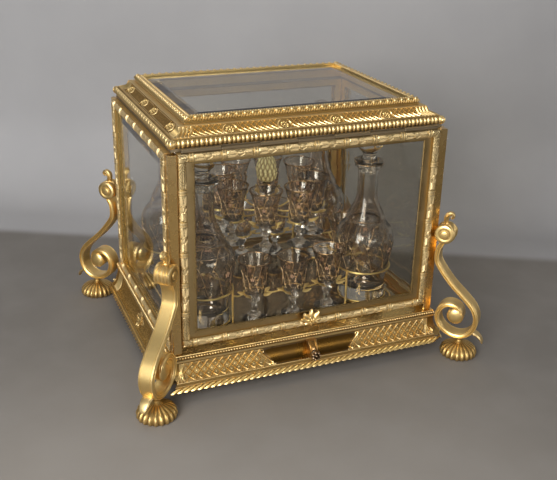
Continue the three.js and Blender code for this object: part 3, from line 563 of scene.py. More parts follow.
@cache
def repeating_tree():
    """Repeats a form along each line, standing on the line's 'away' direction."""
    tree, w, entry = tree_with("form repeated along a path", [
        ("Form", "NodeSocketObject"), ("Pitch", "NodeSocketFloat"), ("Size", "NodeSocketFloat"),
        ("Finish", "NodeSocketMaterial"),
    ])
    line = w.node("GeometryNodeMeshToCurve", {0: entry["Geometry"]}).outputs[0]
    cut = w.node("GeometryNodeResampleCurve", {"Curve": line, "Length": entry["Pitch"]}, mode="LENGTH").outputs[0]
    form = w.node("GeometryNodeObjectInfo", {"Object": entry["Form"]}).outputs["Geometry"]
    tangent = w.node("GeometryNodeInputTangent").outputs[0]
    first = w.node("FunctionNodeAlignRotationToVector", {"Vector": tangent}, axis="X").outputs[0]
    turned = w.node(
        "FunctionNodeAlignRotationToVector", {"Rotation": first, "Vector": w.attribute("away", "FLOAT_VECTOR")},
        axis="Z", pivot_axis="X",
    ).outputs[0]
    placed = w.node("GeometryNodeInstanceOnPoints", {
        "Points": cut, "Instance": form, "Rotation": turned, "Scale": entry["Size"],
    }).outputs[0]
    coat_and_end(w, placed, entry["Finish"])
    return tree


@cache
def wire_tree():
    """Round wire along each line. The wire's own 'thickness' attribute is its radius."""
    tree, w, entry = tree_with("wire along a path", [
        ("Round", "NodeSocketInt"), ("Thickness", "NodeSocketFloat"), ("Finish", "NodeSocketMaterial"),
    ])
    line = w.node("GeometryNodeMeshToCurve", {0: entry["Geometry"]}).outputs[0]
    feeds = {"Resolution": entry["Round"], "Radius": entry["Thickness"]}
    ring = w.node("GeometryNodeCurvePrimitiveCircle", feeds, mode="RADIUS").outputs[0]
    coat_and_end(w, swept(w, line, ring), entry["Finish"])
    return tree


@cache
def section_tree():
    """Sweeps a section along each line, with the section's X on the line's 'away' direction."""
    tree, w, entry = tree_with("section along a path", [
        ("Section", "NodeSocketObject"), ("Finish", "NodeSocketMaterial"),
    ])
    line = w.node("GeometryNodeMeshToCurve", {0: entry["Geometry"]}).outputs[0]
    feeds = {"Curve": line, "Normal": w.attribute("away", "FLOAT_VECTOR")}
    held = w.node("GeometryNodeSetCurveNormal", feeds, mode="FREE").outputs[0]
    form = w.node("GeometryNodeObjectInfo", {"Object": entry["Section"]}).outputs["Geometry"]
    outline = w.node("GeometryNodeMeshToCurve", {0: form}).outputs[0]
    coat_and_end(w, swept(w, held, outline), entry["Finish"])
    return tree


def swept(w, line, outline):
    """An outline carried along a line, as thick as the line's 'thickness' attribute says."""
    feeds = {"Curve": line, "Profile Curve": outline, "Scale": w.attribute("thickness", "FLOAT"), "Fill Caps": True}
    return w.node("GeometryNodeCurveToMesh", feeds).outputs[0]


@cache
def crimping_tree():
    """Ribs or a net of bosses on a turned form: each point moves along 'away' by its 'turn' and 'rise'."""
    tree, w, entry = tree_with("ribs on a turned form", [
        ("Ribs", "NodeSocketFloat"), ("Twist", "NodeSocketFloat"), ("Depth", "NodeSocketFloat"),
        ("Finish", "NodeSocketMaterial"),
    ])
    turn = w.times(w.attribute("turn", "FLOAT"), entry["Ribs"])
    lean = w.times(w.attribute("rise", "FLOAT"), entry["Twist"])
    crossed = w.times(w.math("COSINE", w.plus(turn, lean)), w.math("COSINE", w.minus(turn, lean)))
    bump = w.math("ABSOLUTE", crossed)
    depth = w.times(w.times(bump, entry["Depth"]), w.attribute("swell", "FLOAT"))
    offset = w.scaled(w.attribute("away", "FLOAT_VECTOR"), depth)
    pushed = w.node("GeometryNodeSetPosition", {"Geometry": entry["Geometry"], "Offset": offset}).outputs[0]
    # the grooves between ribs are darkened: grime and painted shade
    feeds = {"Geometry": pushed, "Name": "grime", "Value": w.remap(bump, 0.0, 0.75, 1.0, 0.0)}
    marked = w.node("GeometryNodeStoreNamedAttribute", feeds, data_type="FLOAT", domain="POINT").outputs[0]
    coat_and_end(w, marked, entry["Finish"])
    return tree


def lines_object(name, lines):
    """An object of bare lines. Each line is (points, away, thickness, closed)."""
    points, edges, away, wide = [], [], [], []
    for line, direction, thickness, closed in lines:
        start = len(points)
        points.extend(Vector(p) * MM for p in line)
        away.extend([direction] * len(line))
        wide.extend([thickness] * len(line))
        edges.extend((start + i, start + i + 1) for i in range(len(line) - 1))
        if closed:
            edges.append((len(points) - 1, start))
    mesh = bpy.data.meshes.new(name)
    mesh.from_pydata(points, edges, [])
    store(mesh, "away", "FLOAT_VECTOR", "vector", [c for d in away for c in d])
    store(mesh, "thickness", "FLOAT", "value", wide)
    return link(name, mesh)


def grow(name, base, maker, inputs, sharp=40, helpers=()):
    """Runs a node tree on a base object and keeps the result as a plain mesh."""
    tree = maker()
    modifier = base.modifiers.new("grow", "NODES")
    modifier.node_group = tree
    for item in tree.interface.items_tree:
        if item.item_type == "SOCKET" and item.in_out == "INPUT" and item.name in inputs:
            modifier[item.identifier] = inputs[item.name]
    bpy.context.view_layer.update()
    graph = bpy.context.evaluated_depsgraph_get()
    mesh = bpy.data.meshes.new_from_object(base.evaluated_get(graph))
    base.modifiers.remove(modifier)
    if not mesh.polygons:
        raise RuntimeError(name + " came out empty")
    drop(base)
    for helper in helpers:
        drop(helper)
    mesh.name = name
    mesh.materials.clear()
    mesh.materials.append(inputs["Finish"])
    mesh.polygons.foreach_set("material_index", [0] * len(mesh.polygons))
    return link(name, tidy(mesh, sharp))


def bead(radius, flat=0.8):
    """A small bead, standing on its Z."""
    profile = ((1.0, 0.0), (0.72, 0.68), (0.12, 1.0), (-0.35, 0.9))
    rows = [circle(Vector(), reach * radius, height * radius * flat, 8) for height, reach in profile]
    return skin(Shape(), rows, grime=lambda i, j: (0.0, 0.1, 0.75, 1.0)[i])


# ---------------------------------------------------------------- finishes


def shader_group(name, inputs, outputs):
    """An empty shader node group; inputs carry a default value."""
    tree = bpy.data.node_groups.new(name, "ShaderNodeTree")
    for label, kind, value in inputs:
        socket = tree.interface.new_socket(label, in_out="INPUT", socket_type=kind)
        socket.default_value = value
    for label, kind in outputs:
        tree.interface.new_socket(label, in_out="OUTPUT", socket_type=kind)
    w = Wiring(tree)
    return tree, w, w.node("NodeGroupInput").outputs


FLOAT, COLOUR = "NodeSocketFloat", "NodeSocketColor"


@cache
def aged_gilding():
    """Fire gilding with age: cloudy tarnish, brown grime and painted shade in the hollows, rubbed crests and a fine
    grain.
    """
    tree, w, entry = shader_group(
        "aged gilding",
        [
            ("Gold", COLOUR, (0.8, 0.52, 0.19, 1)), ("Tarnish", COLOUR, (0.3, 0.16, 0.05, 1)),
            ("Amount", FLOAT, 0.4), ("Hollows", FLOAT, 0.8), ("Gloss", FLOAT, 0.3), ("Grain", FLOAT, 0.2),
        ],
        [("Color", COLOUR), ("Roughness", FLOAT), ("Height", FLOAT)],
    )
    place = w.node("ShaderNodeTexCoord").outputs["Object"]
    noise = lambda *values: w.node("ShaderNodeTexNoise", {
        "Vector": place, **dict(zip(("Scale", "Detail", "Roughness"), values)),
    }).outputs[0]
    cloud, specks = noise(38.0, 4.0, 0.62), noise(620.0, 3.0, 0.7)
    deep = w.node("ShaderNodeAttribute", attribute_name="grime").outputs["Fac"]
    pointed = w.node("ShaderNodeNewGeometry").outputs["Pointiness"]
    hollow = w.remap(pointed, 0.5, 0.42)
    crest = w.remap(pointed, 0.52, 0.6)
    clouded = w.remap(cloud, 0.42, 0.68, smooth=True)
    spotted = w.remap(specks, 0.55, 0.75, smooth=True)
    veil = w.times(entry["Amount"], w.plus(clouded, w.times(spotted, 0.5)), clamp=True)
    # hollows from the grime attribute and from pointiness: grime and painted shade
    dirt_and_shade = w.most(deep, w.times(hollow, 0.8))
    uneven = w.remap(cloud, 0.3, 0.7, 0.75, 1.0)
    dirt_and_shade = w.times(w.times(dirt_and_shade, entry["Hollows"]), uneven, clamp=True)
    colour = w.blend(veil, entry["Gold"], entry["Tarnish"])
    # hollows blend towards a near-black brown, partly as painted shade
    dark = w.blend(0.55, entry["Tarnish"], (0.045, 0.022, 0.008, 1.0))
    colour = w.blend(dirt_and_shade, colour, dark)
    pale = w.blend(0.35, entry["Gold"], (1.0, 0.9, 0.66, 1.0))
    colour = w.blend(w.times(crest, 0.6), colour, pale)
    rough = w.plus(entry["Gloss"], w.times(veil, 0.16))
    rough = w.plus(rough, w.times(dirt_and_shade, 0.3), clamp=True)
    height = w.times(specks, entry["Grain"])
    w.node("NodeGroupOutput", {"Color": colour, "Roughness": rough, "Height": height})
    return tree


@cache
def engraving():
    """Engraved segments on a half-round moulding: leaves and a lozenge between bands. Reads the piece's own UV."""
    tree, w, entry = shader_group(
        "engraved segments", [("Segment", FLOAT, 34.0), ("Relief", FLOAT, 1.0)], [("Height", FLOAT), ("Hollow", FLOAT)]
    )
    chart = w.node("ShaderNodeUVMap", uv_map="UVMap").outputs[0]
    parts = w.node("ShaderNodeSeparateXYZ", {0: chart}).outputs
    along = w.math("DIVIDE", parts[0], entry["Segment"])
    near = w.math("PINGPONG", along, 0.5)
    across = w.math("ABSOLUTE", w.minus(parts[1], 0.5))
    band = w.remap(near, 0.055, 0.075, 1.0, 0.0, smooth=True)
    place = w.node("ShaderNodeTexCoord").outputs["Object"]
    stray = w.node("ShaderNodeTexNoise", {"Vector": place, "Scale": 260.0, "Detail": 2.0}).outputs[0]
    barb = w.minus(w.times(near, 9.0), w.times(across, 3.4))
    barb = w.math("PINGPONG", w.plus(barb, w.times(stray, 2.2)), 0.5)
    petal = w.remap(barb, 0.06, 0.24, smooth=True)
    cut = w.remap(across, 0.0, 0.05, 1.0, 0.0, smooth=True)
    middle = w.plus(w.times(w.minus(0.5, near), 5.0), w.times(across, 4.5))
    lozenge = w.remap(middle, 0.62, 0.8, 1.0, 0.0, smooth=True)
    body = w.times(w.most(petal, lozenge), w.minus(1.0, w.times(cut, 0.6)))
    edge = w.times(w.remap(across, 0.4, 0.47, 1.0, 0.0, smooth=True), w.remap(near, 0.08, 0.12, smooth=True))
    body = w.times(w.times(body, edge), w.minus(1.0, band))
    height = w.times(w.most(body, band), entry["Relief"])
    cut_away = w.minus(1.0, w.most(body, band))
    hollow = w.times(cut_away, w.math("MINIMUM", entry["Relief"], 1.0), clamp=True)
    w.node("NodeGroupOutput", {"Height": height, "Hollow": hollow})
    return tree


@cache
def stippling():
    """Close punched dots, as on a matted ground."""
    outputs = [("Height", FLOAT), ("Hollow", FLOAT)]
    tree, w, entry = shader_group("punched ground", [("Fineness", FLOAT, 620.0)], outputs)
    place = w.node("ShaderNodeTexCoord").outputs["Object"]
    feeds = {"Vector": place, "Scale": entry["Fineness"], "Randomness": 0.8}
    cells = w.node("ShaderNodeTexVoronoi", feeds, feature="F1").outputs[0]
    dot = w.remap(cells, 0.2, 0.62, 1.0, 0.0, smooth=True)
    w.node("NodeGroupOutput", {"Height": dot, "Hollow": w.minus(1.0, dot)})
    return tree


@cache
def etching():
    """Etched flowers, leaves and stems round a turned glass. Reads the piece's own UV: turn and height, both 0 to 1."""
    tree, w, entry = shader_group(
        "etched flowers",
        [
            ("Repeats", FLOAT, 6.0), ("Low", FLOAT, 0.2), ("High", FLOAT, 0.5), ("Stretch", FLOAT, 1.0),
            ("Veil", FLOAT, 0.0),
        ],
        [("Mask", FLOAT)],
    )
    chart = w.node("ShaderNodeUVMap", uv_map="UVMap").outputs[0]
    parts = w.node("ShaderNodeSeparateXYZ", {0: chart}).outputs
    turn = w.times(parts[0], entry["Repeats"])
    rise = w.remap(parts[1], entry["Low"], entry["High"])
    x = w.minus(w.math("FRACT", turn), 0.5)
    y = w.times(w.minus(rise, 0.55), entry["Stretch"])
    reach = w.math("SQRT", w.plus(w.times(x, x), w.times(y, y)))
    angle = w.math("ARCTAN2", y, x)
    petal = w.plus(0.2, w.times(w.math("COSINE", w.times(angle, 6.0)), 0.075))
    flower = w.times(w.remap(w.minus(petal, reach), 0.0, 0.02), w.remap(reach, 0.05, 0.07))
    wave = w.times(w.math("SINE", w.times(turn, TAU)), 0.2)
    stem_gap = w.math("ABSOLUTE", w.minus(w.minus(rise, 0.28), wave))
    stem = w.remap(stem_gap, 0.05, 0.025)
    leafy = w.node("ShaderNodeCombineXYZ", {0: w.times(turn, 3.0), 1: w.times(rise, 2.6)}).outputs[0]
    feeds = {"Vector": leafy, "Scale": 1.4, "Randomness": 0.8}
    cells = w.node("ShaderNodeTexVoronoi", feeds, feature="SMOOTH_F1").outputs[0]
    leaf = w.times(w.remap(cells, 0.3, 0.24), w.remap(reach, 0.24, 0.3))
    hatch = w.node("ShaderNodeTexWave", {"Vector": leafy, "Scale": 5.0, "Distortion": 2.0}).outputs["Fac"]
    drawn = w.most(w.most(flower, stem), leaf)
    drawn = w.most(w.times(drawn, w.remap(hatch, 0.0, 0.5, 0.45, 1.0)), entry["Veil"])
    inside = w.times(w.remap(rise, 0.0, 0.04), w.remap(rise, 1.0, 0.96))
    foot, head = (w.remap(w.math("ABSOLUTE", w.minus(rise, end)), 0.035, 0.02) for end in (0.0, 1.0))
    edge = w.times(w.most(foot, head), w.math("LESS_THAN", w.math("ABSOLUTE", w.minus(parts[1], 0.5)), 0.49))
    w.node("NodeGroupOutput", {"Mask": w.most(w.times(drawn, inside), w.times(edge, 0.4))})
    return tree


def group_node(w, maker, **values):
    """Outputs of a shared node group, with its inputs set."""
    return w.node("ShaderNodeGroup", values, node_tree=maker()).outputs


def bumped(w, height, distance, **feeds):
    """Normal of a surface raised by a height."""
    feeds.update({"Height": height, "Distance": distance, "Strength": 1.0})
    return w.node("ShaderNodeBump", feeds).outputs[0]


def bare_material(name, shown):
    """A material with its Principled shader and output: (material, wiring, shader, output)."""
    material = bpy.data.materials.new(name)
    material.use_nodes = True
    material.node_tree.nodes.clear()
    material.diffuse_color = (*shown[:3], 1.0)
    w = Wiring(material.node_tree)
    surface = w.node("ShaderNodeBsdfPrincipled")
    output = w.node("ShaderNodeOutputMaterial", {"Surface": surface.outputs[0]})
    return material, w, surface, output


def gilt(name, gold, tarnish, age, bump=0.00012, pattern=None, depth=0.0004, metal=1.0, **values):
    """A gilt metal, with an optional relief pattern cut in it. age is (tarnish amount, strength of grime and painted
    shade in the hollows, gloss, grain).
    """
    material, w, surface, _ = bare_material(name, gold)
    aged = dict(zip(("Amount", "Hollows", "Gloss", "Grain"), age))
    coat = group_node(w, aged_gilding, Gold=(*gold, 1), Tarnish=(*tarnish, 1), **aged)
    colour, rough = coat["Color"], coat["Roughness"]
    normal = bumped(w, coat["Height"], bump)
    if pattern:
        cut = group_node(w, pattern, **values)
        colour = w.blend(w.times(cut["Hollow"], 0.6), colour, (*(c * 0.45 for c in tarnish), 1))
        rough = w.plus(rough, w.times(cut["Hollow"], 0.15), clamp=True)
        normal = bumped(w, cut["Height"], depth, Normal=normal)
    w.feed(surface.inputs["Base Color"], colour)
    w.feed(surface.inputs["Roughness"], rough)
    w.feed(surface.inputs["Normal"], normal)
    surface.inputs["Metallic"].default_value = metal
    return material


def clear_glass(name, tint, rough, ior, etched=None, stain=None, rim=(0.62, 0.5, 0.4), **values):
    """Glass that lets the lamps through, with faint smears, and an etched and stained pattern where one is given. rim
    is the colour of painted shade where the glass is seen aslant.
    """
    material, w, surface, output = bare_material(name, tint)
    place = w.node("ShaderNodeTexCoord").outputs["Object"]
    smear = w.node("ShaderNodeTexNoise", {"Vector": place, "Scale": 55.0, "Detail": 5.0}).outputs[0]
    haze = w.remap(smear, 0.5, 0.78, rough, rough + 0.05)
    colour = w.blend(w.remap(smear, 0.35, 0.75), (*tint, 1), tuple(c * 0.97 for c in tint) + (1,))
    if etched:
        mask = group_node(w, etched, **values)["Mask"]
        haze = w.plus(haze, w.times(mask, 0.14), clamp=True)
        colour = w.blend(w.times(mask, 0.9), colour, (*stain, 1))
        w.feed(surface.inputs["Normal"], bumped(w, mask, 0.0004))
    if rim:
        # painted shade: the glass darkens towards the rim colour where it is seen aslant
        facing = w.node("ShaderNodeLayerWeight", {"Blend": 0.5}).outputs["Facing"]
        colour = w.blend(w.remap(facing, 0.5, 0.98, 0.0, 0.8), colour, (*rim, 1))
    w.feed(surface.inputs["Base Color"], colour)
    w.feed(surface.inputs["Roughness"], haze)
    surface.inputs["Transmission Weight"].default_value = 1.0
    surface.inputs["IOR"].default_value = ior
    shade = w.node("ShaderNodeBsdfTransparent", {"Color": tuple(0.93 * c for c in tint) + (1,)}).outputs[0]
    shadow = w.node("ShaderNodeLightPath").outputs["Is Shadow Ray"]
    both = w.node("ShaderNodeMixShader", {0: shadow, 1: surface.outputs[0], 2: shade}).outputs[0]
    w.feed(output.inputs["Surface"], both)
    return material


# gilding: share of the gold's red, green and blue, age, and what else differs from plain gilding
GILDINGS = {
    "satin gilt": ((1.04, 1.06, 1.2), (0.25, 0.85, 0.33, 0.3), {}),
    "plain gilt": ((1, 1, 1), (0.4, 0.95, 0.26, 0.25), {}),
    "burnished gilt": ((1, 1, 1), (0.35, 0.95, 0.2, 0.12), {}),
    "chased gilt": ((1.04, 1.06, 1.2), (0.22, 1.0, 0.28, 0.35), {}),
    "post gilt": ((0.7, 0.62, 0.48), (0.45, 0.8, 0.25, 0.2), {}),
    "engraved gilt": (
        (1.08, 1.2, 1.8), (0.08, 0.9, 0.3, 0.2),
        {"pattern": engraving, "depth": 0.0007, "Segment": 34.0, "Relief": 1.0},
    ),
    "ringed gilt": ((1.04, 1.12, 1.5), (0.15, 0.9, 0.42, 0.2), {}),
    "punched gilt": (
        (0.7, 0.62, 0.48), (0.4, 0.9, 0.34, 0.2), {"pattern": stippling, "depth": 0.0005, "Fineness": 560.0},
    ),
    "wire gilt": ((1.07, 1.2, 1.35), (0.08, 0.8, 0.34, 0.12), {}),
    "flower gilt": ((1.0, 0.98, 1.5), (0.1, 0.3, 0.34, 0.1), {}),
    # painted shadow: near-black gilding for the lid's skirt and the hinge knuckles
    "shaded gilt": ((0.15, 0.12, 0.09), (0.3, 0.6, 0.45, 0.15), {"tarnish": (0.06, 0.035, 0.015)}),
    "warm bronze": ((0.62, 0.44, 0.28), (0.4, 0.9, 0.24, 0.3), {}),
    "base gilt": ((0.32, 0.26, 0.17), (0.35, 0.6, 0.36, 0.15), {}),
    "slip gilt": ((0.46, 0.42, 0.34), (0.4, 0.7, 0.24, 0.2), {}),
    "frieze gilt": ((1, 1, 1), (0.4, 0.95, 0.34, 0.3), {}),
    # painted light: paler and mostly not metal, so the finial shows bright inside the shaded case
    "pineapple gilt": ((1.1, 1.42, 2.3), (0.02, 1.0, 0.34, 0.2), {"metal": 0.25}),
    "rim gilt": ((0.4, 0.3, 0.26), (0.3, 0.5, 0.25, 0.1), {}),
    "dark gilt": ((0.2, 0.145, 0.075), (0.35, 0.6, 0.24, 0.15), {"tarnish": (0.14, 0.08, 0.03)}),
    "foot gilt": ((0.86, 0.82, 0.8), (0.3, 1.0, 0.36, 0.35), {}),
}
# other metals and enamel: colour, tarnish, age and what else differs
METALS = {
    "flower enamel": ((0.5, 0.22, 0.12), (0.2, 0.07, 0.04), (0.3, 0.3, 0.35, 0.1), {"metal": 0.0}),
    "mirror floor": ((0.36, 0.28, 0.16), (0.1, 0.07, 0.035), (0.25, 0.5, 0.05, 0.05), {"bump": 0.00002}),
    "tray polish": ((0.37, 0.29, 0.17), (0.12, 0.08, 0.04), (0.2, 0.9, 0.06, 0.1), {"bump": 0.00002}),
    "spring steel": ((0.46, 0.46, 0.45), (0.18, 0.16, 0.14), (0.4, 0.8, 0.3, 0.2), {}),
}
CRYSTAL_IOR = 1.6
PANE_IOR = 1.45


@cache
def finish(name):
    """The cabinet's finishes, each made once from the colours in the panel."""
    colours = bpy.context.scene.cabinet_colours
    if name in GILDINGS:
        share, age, other = GILDINGS[name]
        gold = tuple(min(1.0, c * k) for c, k in zip(colours.gold, share))
        return gilt(name, gold, age=age, **{"tarnish": tuple(colours.tarnish), **other})
    if name in METALS:
        colour, tarnish, age, other = METALS[name]
        return gilt(name, colour, tarnish, age, **other)
    if name == "dark bronze":
        return gilt(name, tuple(colours.bronze), (0.05, 0.028, 0.014), (0.5, 0.9, 0.3, 0.3))
    if name == "pane glass":
        return clear_glass(name, tuple(colours.pane), 0.004, PANE_IOR, rim=None)
    if name == "clear crystal":
        return clear_glass(name, tuple(colours.crystal), 0.01, CRYSTAL_IOR)
    if name == "etched decanter":
        return clear_glass(
            name, tuple(colours.crystal), 0.012, CRYSTAL_IOR, etching, (0.66, 0.4, 0.24),
            Repeats=5.0, Low=0.2, High=0.52, Stretch=1.3,
        )
    if name == "etched glass":
        return clear_glass(
            # the last colour is the painted edge shade
            name, (0.96, 0.88, 0.82), 0.01, CRYSTAL_IOR, etching, (0.84, 0.64, 0.5), (0.6, 0.44, 0.33),
            Repeats=4.0, Low=0.4, High=0.86, Stretch=1.0, Veil=0.4,
        )
    raise ValueError("no finish is called " + name)


def refinish(node, name):
    """Gives a CAD node that stays one of the finishes."""
    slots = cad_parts[node].material_slots
    if not slots:
        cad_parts[node].data.materials.append(finish(name))
    for material_slot in slots:
        material_slot.material = finish(name)


# ---------------------------------------------------------------- base


FOOT_LINE = BASE_LOW.z
COVE_FOOT = (BASE_OUT - 3.0, FOOT_LINE + 11.0)
COVE_HEAD = (3.0, BASE_HIGH.z - 2.5)
COVE = Band(arc(
    (COVE_FOOT[0], COVE_HEAD[1]), (COVE_FOOT[0] - COVE_HEAD[0], COVE_HEAD[1] - COVE_FOOT[1]), 270, 180, 20
))
LEG_SLOT_START = 6.9
LEG_SLOT_HALF = 8.8
PANEL_OUTER = HALF_X - 10.5
ROUND_SIDES = ("left", "right", "back")


def corner_run(out):
    """How far past the case's corner a base moulding runs at this reach, before it meets a leg."""
    return min(out, max(LEG_SLOT_START * math.sqrt(2) - out, out - LEG_SLOT_HALF * math.sqrt(2)))


def base_body():
    """The base moulding: leaf band, cavetto and fillet, open at the corners where the legs pass."""
    foot = [
        (-6, 0), (13.9, 0), (14.5, 0.5), (14.7, 1.6), (14.6, 4), (15.2, 7.0), (15.6, 7.5), (15.2, 8.1), (13.6, 8.3),
        (13.1, 8.8), (13.3, 10.2),
    ]
    head = [(3.5, -2.3), (4, -1.8), (4, -0.5), (3.6, 0), (-11, 0), (-11, -2.5), (-6, -2.5)]
    section = [(o, FOOT_LINE + z) for o, z in foot]
    section += [tuple(p) for p in COVE.section]
    section += [(o, BASE_HIGH.z + z) for o, z in head]
    first, last = len(foot), len(foot) + len(COVE.section) - 1
    shape = Shape()
    for side, (_, _, half, _) in SIDES.items():
        rows = [[on_side(side, end * (half + corner_run(o)), o, z) for o, z in section] for end in (-1, 1)]
        ground = 1 if side == "front" else 2
        strip(
            shape, rows, [-half, half], [0.0] * (len(section) + 1),
            grime=lambda j: 0.8 if j in (0, 8, 9, 10) or j > last + 3 else 0.5 if j < 5 else 0.15,
            slot=lambda j, g=ground: g if first <= j < last else 0,
        )
    dress("base_moulding_dressed", shape, ("chased gilt", "base gilt", "punched gilt"), "case", "gilt", "base_moulding")


def leaf_tip(width, height, lean):
    """A slanting leaf with a vein and a lifted tip, standing on its Z."""
    rows = []
    for t in shares(6):
        half = width / 2 * (0.35 + math.sin(math.pi * min(1, 0.1 + t * 0.78)) ** 0.8 * 0.65) if 0 < t < 1 else 0.02
        x, y = lean * (0.5 - t), height * (1 - t)
        bulge = 0.7 + 1.7 * t**1.6 - 1.0 * max(0, t - 0.85) / 0.15
        row = []
        for s in (-1, -0.6, -0.12, 0, 0.12, 0.6, 1):
            vein = -0.45 if s == 0 else 0.0
            row.append(Vector((half * s + x, y + 0.8 * s, bulge * (1 - 0.8 * s * s) + vein)))
        rows.append(row + [Vector((half * 0.6 + x, y, -0.5)), Vector((-half * 0.6 + x, y, -0.5))])
    dirt_and_shade = (0.9, 0.1, 0.3, 0.8, 0.3, 0.1, 0.9, 1, 1)
    return skin(Shape(), rows, grime=lambda i, j: dirt_and_shade[j] * (1.0 - 0.1 * i))


def lattice_cell(band, width, rib, rise, stud=0.0, lift=0.0):
    """Two rows of crossing ribs up a band, with studs in the diamonds where stud gives their radius."""
    shape = Shape()
    place = band.local()
    low, high = 1.2, band.length - 1.2
    step = (high - low) / 2
    for foot in (low, low + step):
        for end in (width / 2, -width / 2):
            line = straight(-end, foot, end, foot + step, 4)
            ridge(shape, lambda x, d, h: place(x, d, h + lift), line, rib, rise, grime=0.55, steps=2)
    if stud:
        for x, d in ((width / 2, low + step / 2), (width / 2, low + step * 1.5), (0, low + step)):
            tipped = Matrix.Translation(place(x, d, lift)) @ Matrix.Rotation(-math.radians(20), 4, "X")
            shape.merge(bead(stud, 0.4), tipped)
    return shape


def inner_end(d):
    """Where the front lattice panel ends towards the middle, by the distance up the cove."""
    t = min(1.0, max(0.0, d / COVE.length))
    return 46.5 + 14.5 * t * t * (3 - 2 * t)


def base_lattice_grounds():
    """Raised grounds of the front's lattice panels, with scrolled inner ends and leaves at their outer ends."""
    shape = Shape()
    depths = [0.8 + (COVE.length - 1.6) * t for t in shares(12)]
    for hand in (-1, 1):
        place = COVE.beside("front", hand)
        rows = []
        for share in shares(14):
            ends = [(inner_end(d) + (PANEL_OUTER - inner_end(d)) * share, d) for d in depths]
            rows.append([place(x, d, 0.45) for x, d in ends] + [place(x, d, -0.4) for x, d in reversed(ends)])
        skin(shape, rows, grime=0.8)
        border = [(inner_end(d) + 0.4, d) for d in [0.9 + (COVE.length - 2.2) * t for t in shares(16)]]
        curl = arc((46.5, 3.3), (3.1, 2.4), 250, 448, 9)
        head = arc((59.6, COVE.length - 3.4), (-2.2, 2.2), -60, 148, 8)
        ridge(shape, place, border, 1.9, 1.5, grime=0.7)
        ridge(shape, place, curl, lambda t: 1.7 - 0.9 * t, lambda t: 1.5 - 0.6 * t, grime=0.7)
        ridge(shape, place, head, lambda t: 1.6 - 0.8 * t, lambda t: 1.4 - 0.6 * t, grime=0.7)
        for veins in ((51.5, 1.2, 57.0, 6.8), (60.5, 1.2, 53.4, 12.2), (51.8, 1.2, 50.0, 4.0), (53.0, 6.0, 61.8, 15.6)):
            ridge(shape, lambda x, d, lift: place(x, d, lift + 0.45), straight(*veins, 6), 0.9, 0.6, steps=2)
        for k in range(3):
            x = PANEL_OUTER + 1.2 + 4.2 * k
            bend = lambda t: 3.4 * math.sin(0.5 * math.pi * t) * (1 - 0.5 * k) - 5.0 * k * t
            line = [(x + bend(t), 0.9 + (COVE.length - 1.8) * t) for t in shares(8)]
            ridge(shape, place, line, swelling(1.8, 1.8), swelling(0.55, 0.25), grime=0.95)
    dress("base_front_panels", shape, ("chased gilt",), "case", "gilt")


def base_middle_ground():
    """Dark ground between the front's lattice panels, as a thin skin on the cove."""
    place = COVE.beside("front")
    depths = [0.9 + (COVE.length - 1.8) * t for t in shares(12)]
    rows = []
    for share in shares(16):
        ends = [((inner_end(d) + 0.4) * (2 * share - 1), d) for d in depths]
        rows.append([place(x, d, 0.15) for x, d in ends] + [place(x, d, -0.3) for x, d in reversed(ends)])
    dress("base_front_middle", skin(Shape(), rows, grime=0.2), ("dark gilt",), "case", "gilt")


def corner_leaves(name, body, band, sides, inset, count, reach, width, rise, lean):
    """Curved leaf ribs beside each corner, on every side that is named."""
    shape = Shape()
    for side in sides:
        for hand in (-1, 1):
            for k in range(count):
                x = SIDES[side][2] - inset - reach * k / (count - 1)
                line = swung(x, 0.6, x + lean, band.length - 0.6, 8)
                wide = swelling(0.55 * width, 0.45 * width)
                ridge(shape, band.beside(side, hand), line, wide, swelling(rise, 0.2), grime=0.95)
    dress(name, shape, ("chased gilt",), body, "gilt")


def side_cartouche(shape, band, side, distance, size):
    """A rosette between leaves that point up, down and to both sides, in the middle of a side."""
    shape.merge(rosette(size, size * 0.34, 8), lodged(band, side, 0, distance, lift=0.2))
    for k in range(8):
        angle = TAU * (k + 0.5) / 8
        reach = size * (1.9 if k in (0, 3, 4, 7) else 1.45)
        line = []
        for s in shares(7):
            r = size * 0.9 + (reach - size * 0.9) * s
            bend = angle + 0.35 * s * (1 if k % 2 else -1)
            up = distance + r * math.sin(bend)
            line.append((r * math.cos(bend) * 1.2, min(band.length - 1.2, max(1.2, up))))
        ridge(shape, band.beside(side), line, swelling(size * 0.5), swelling(size * 0.2), grime=0.9)


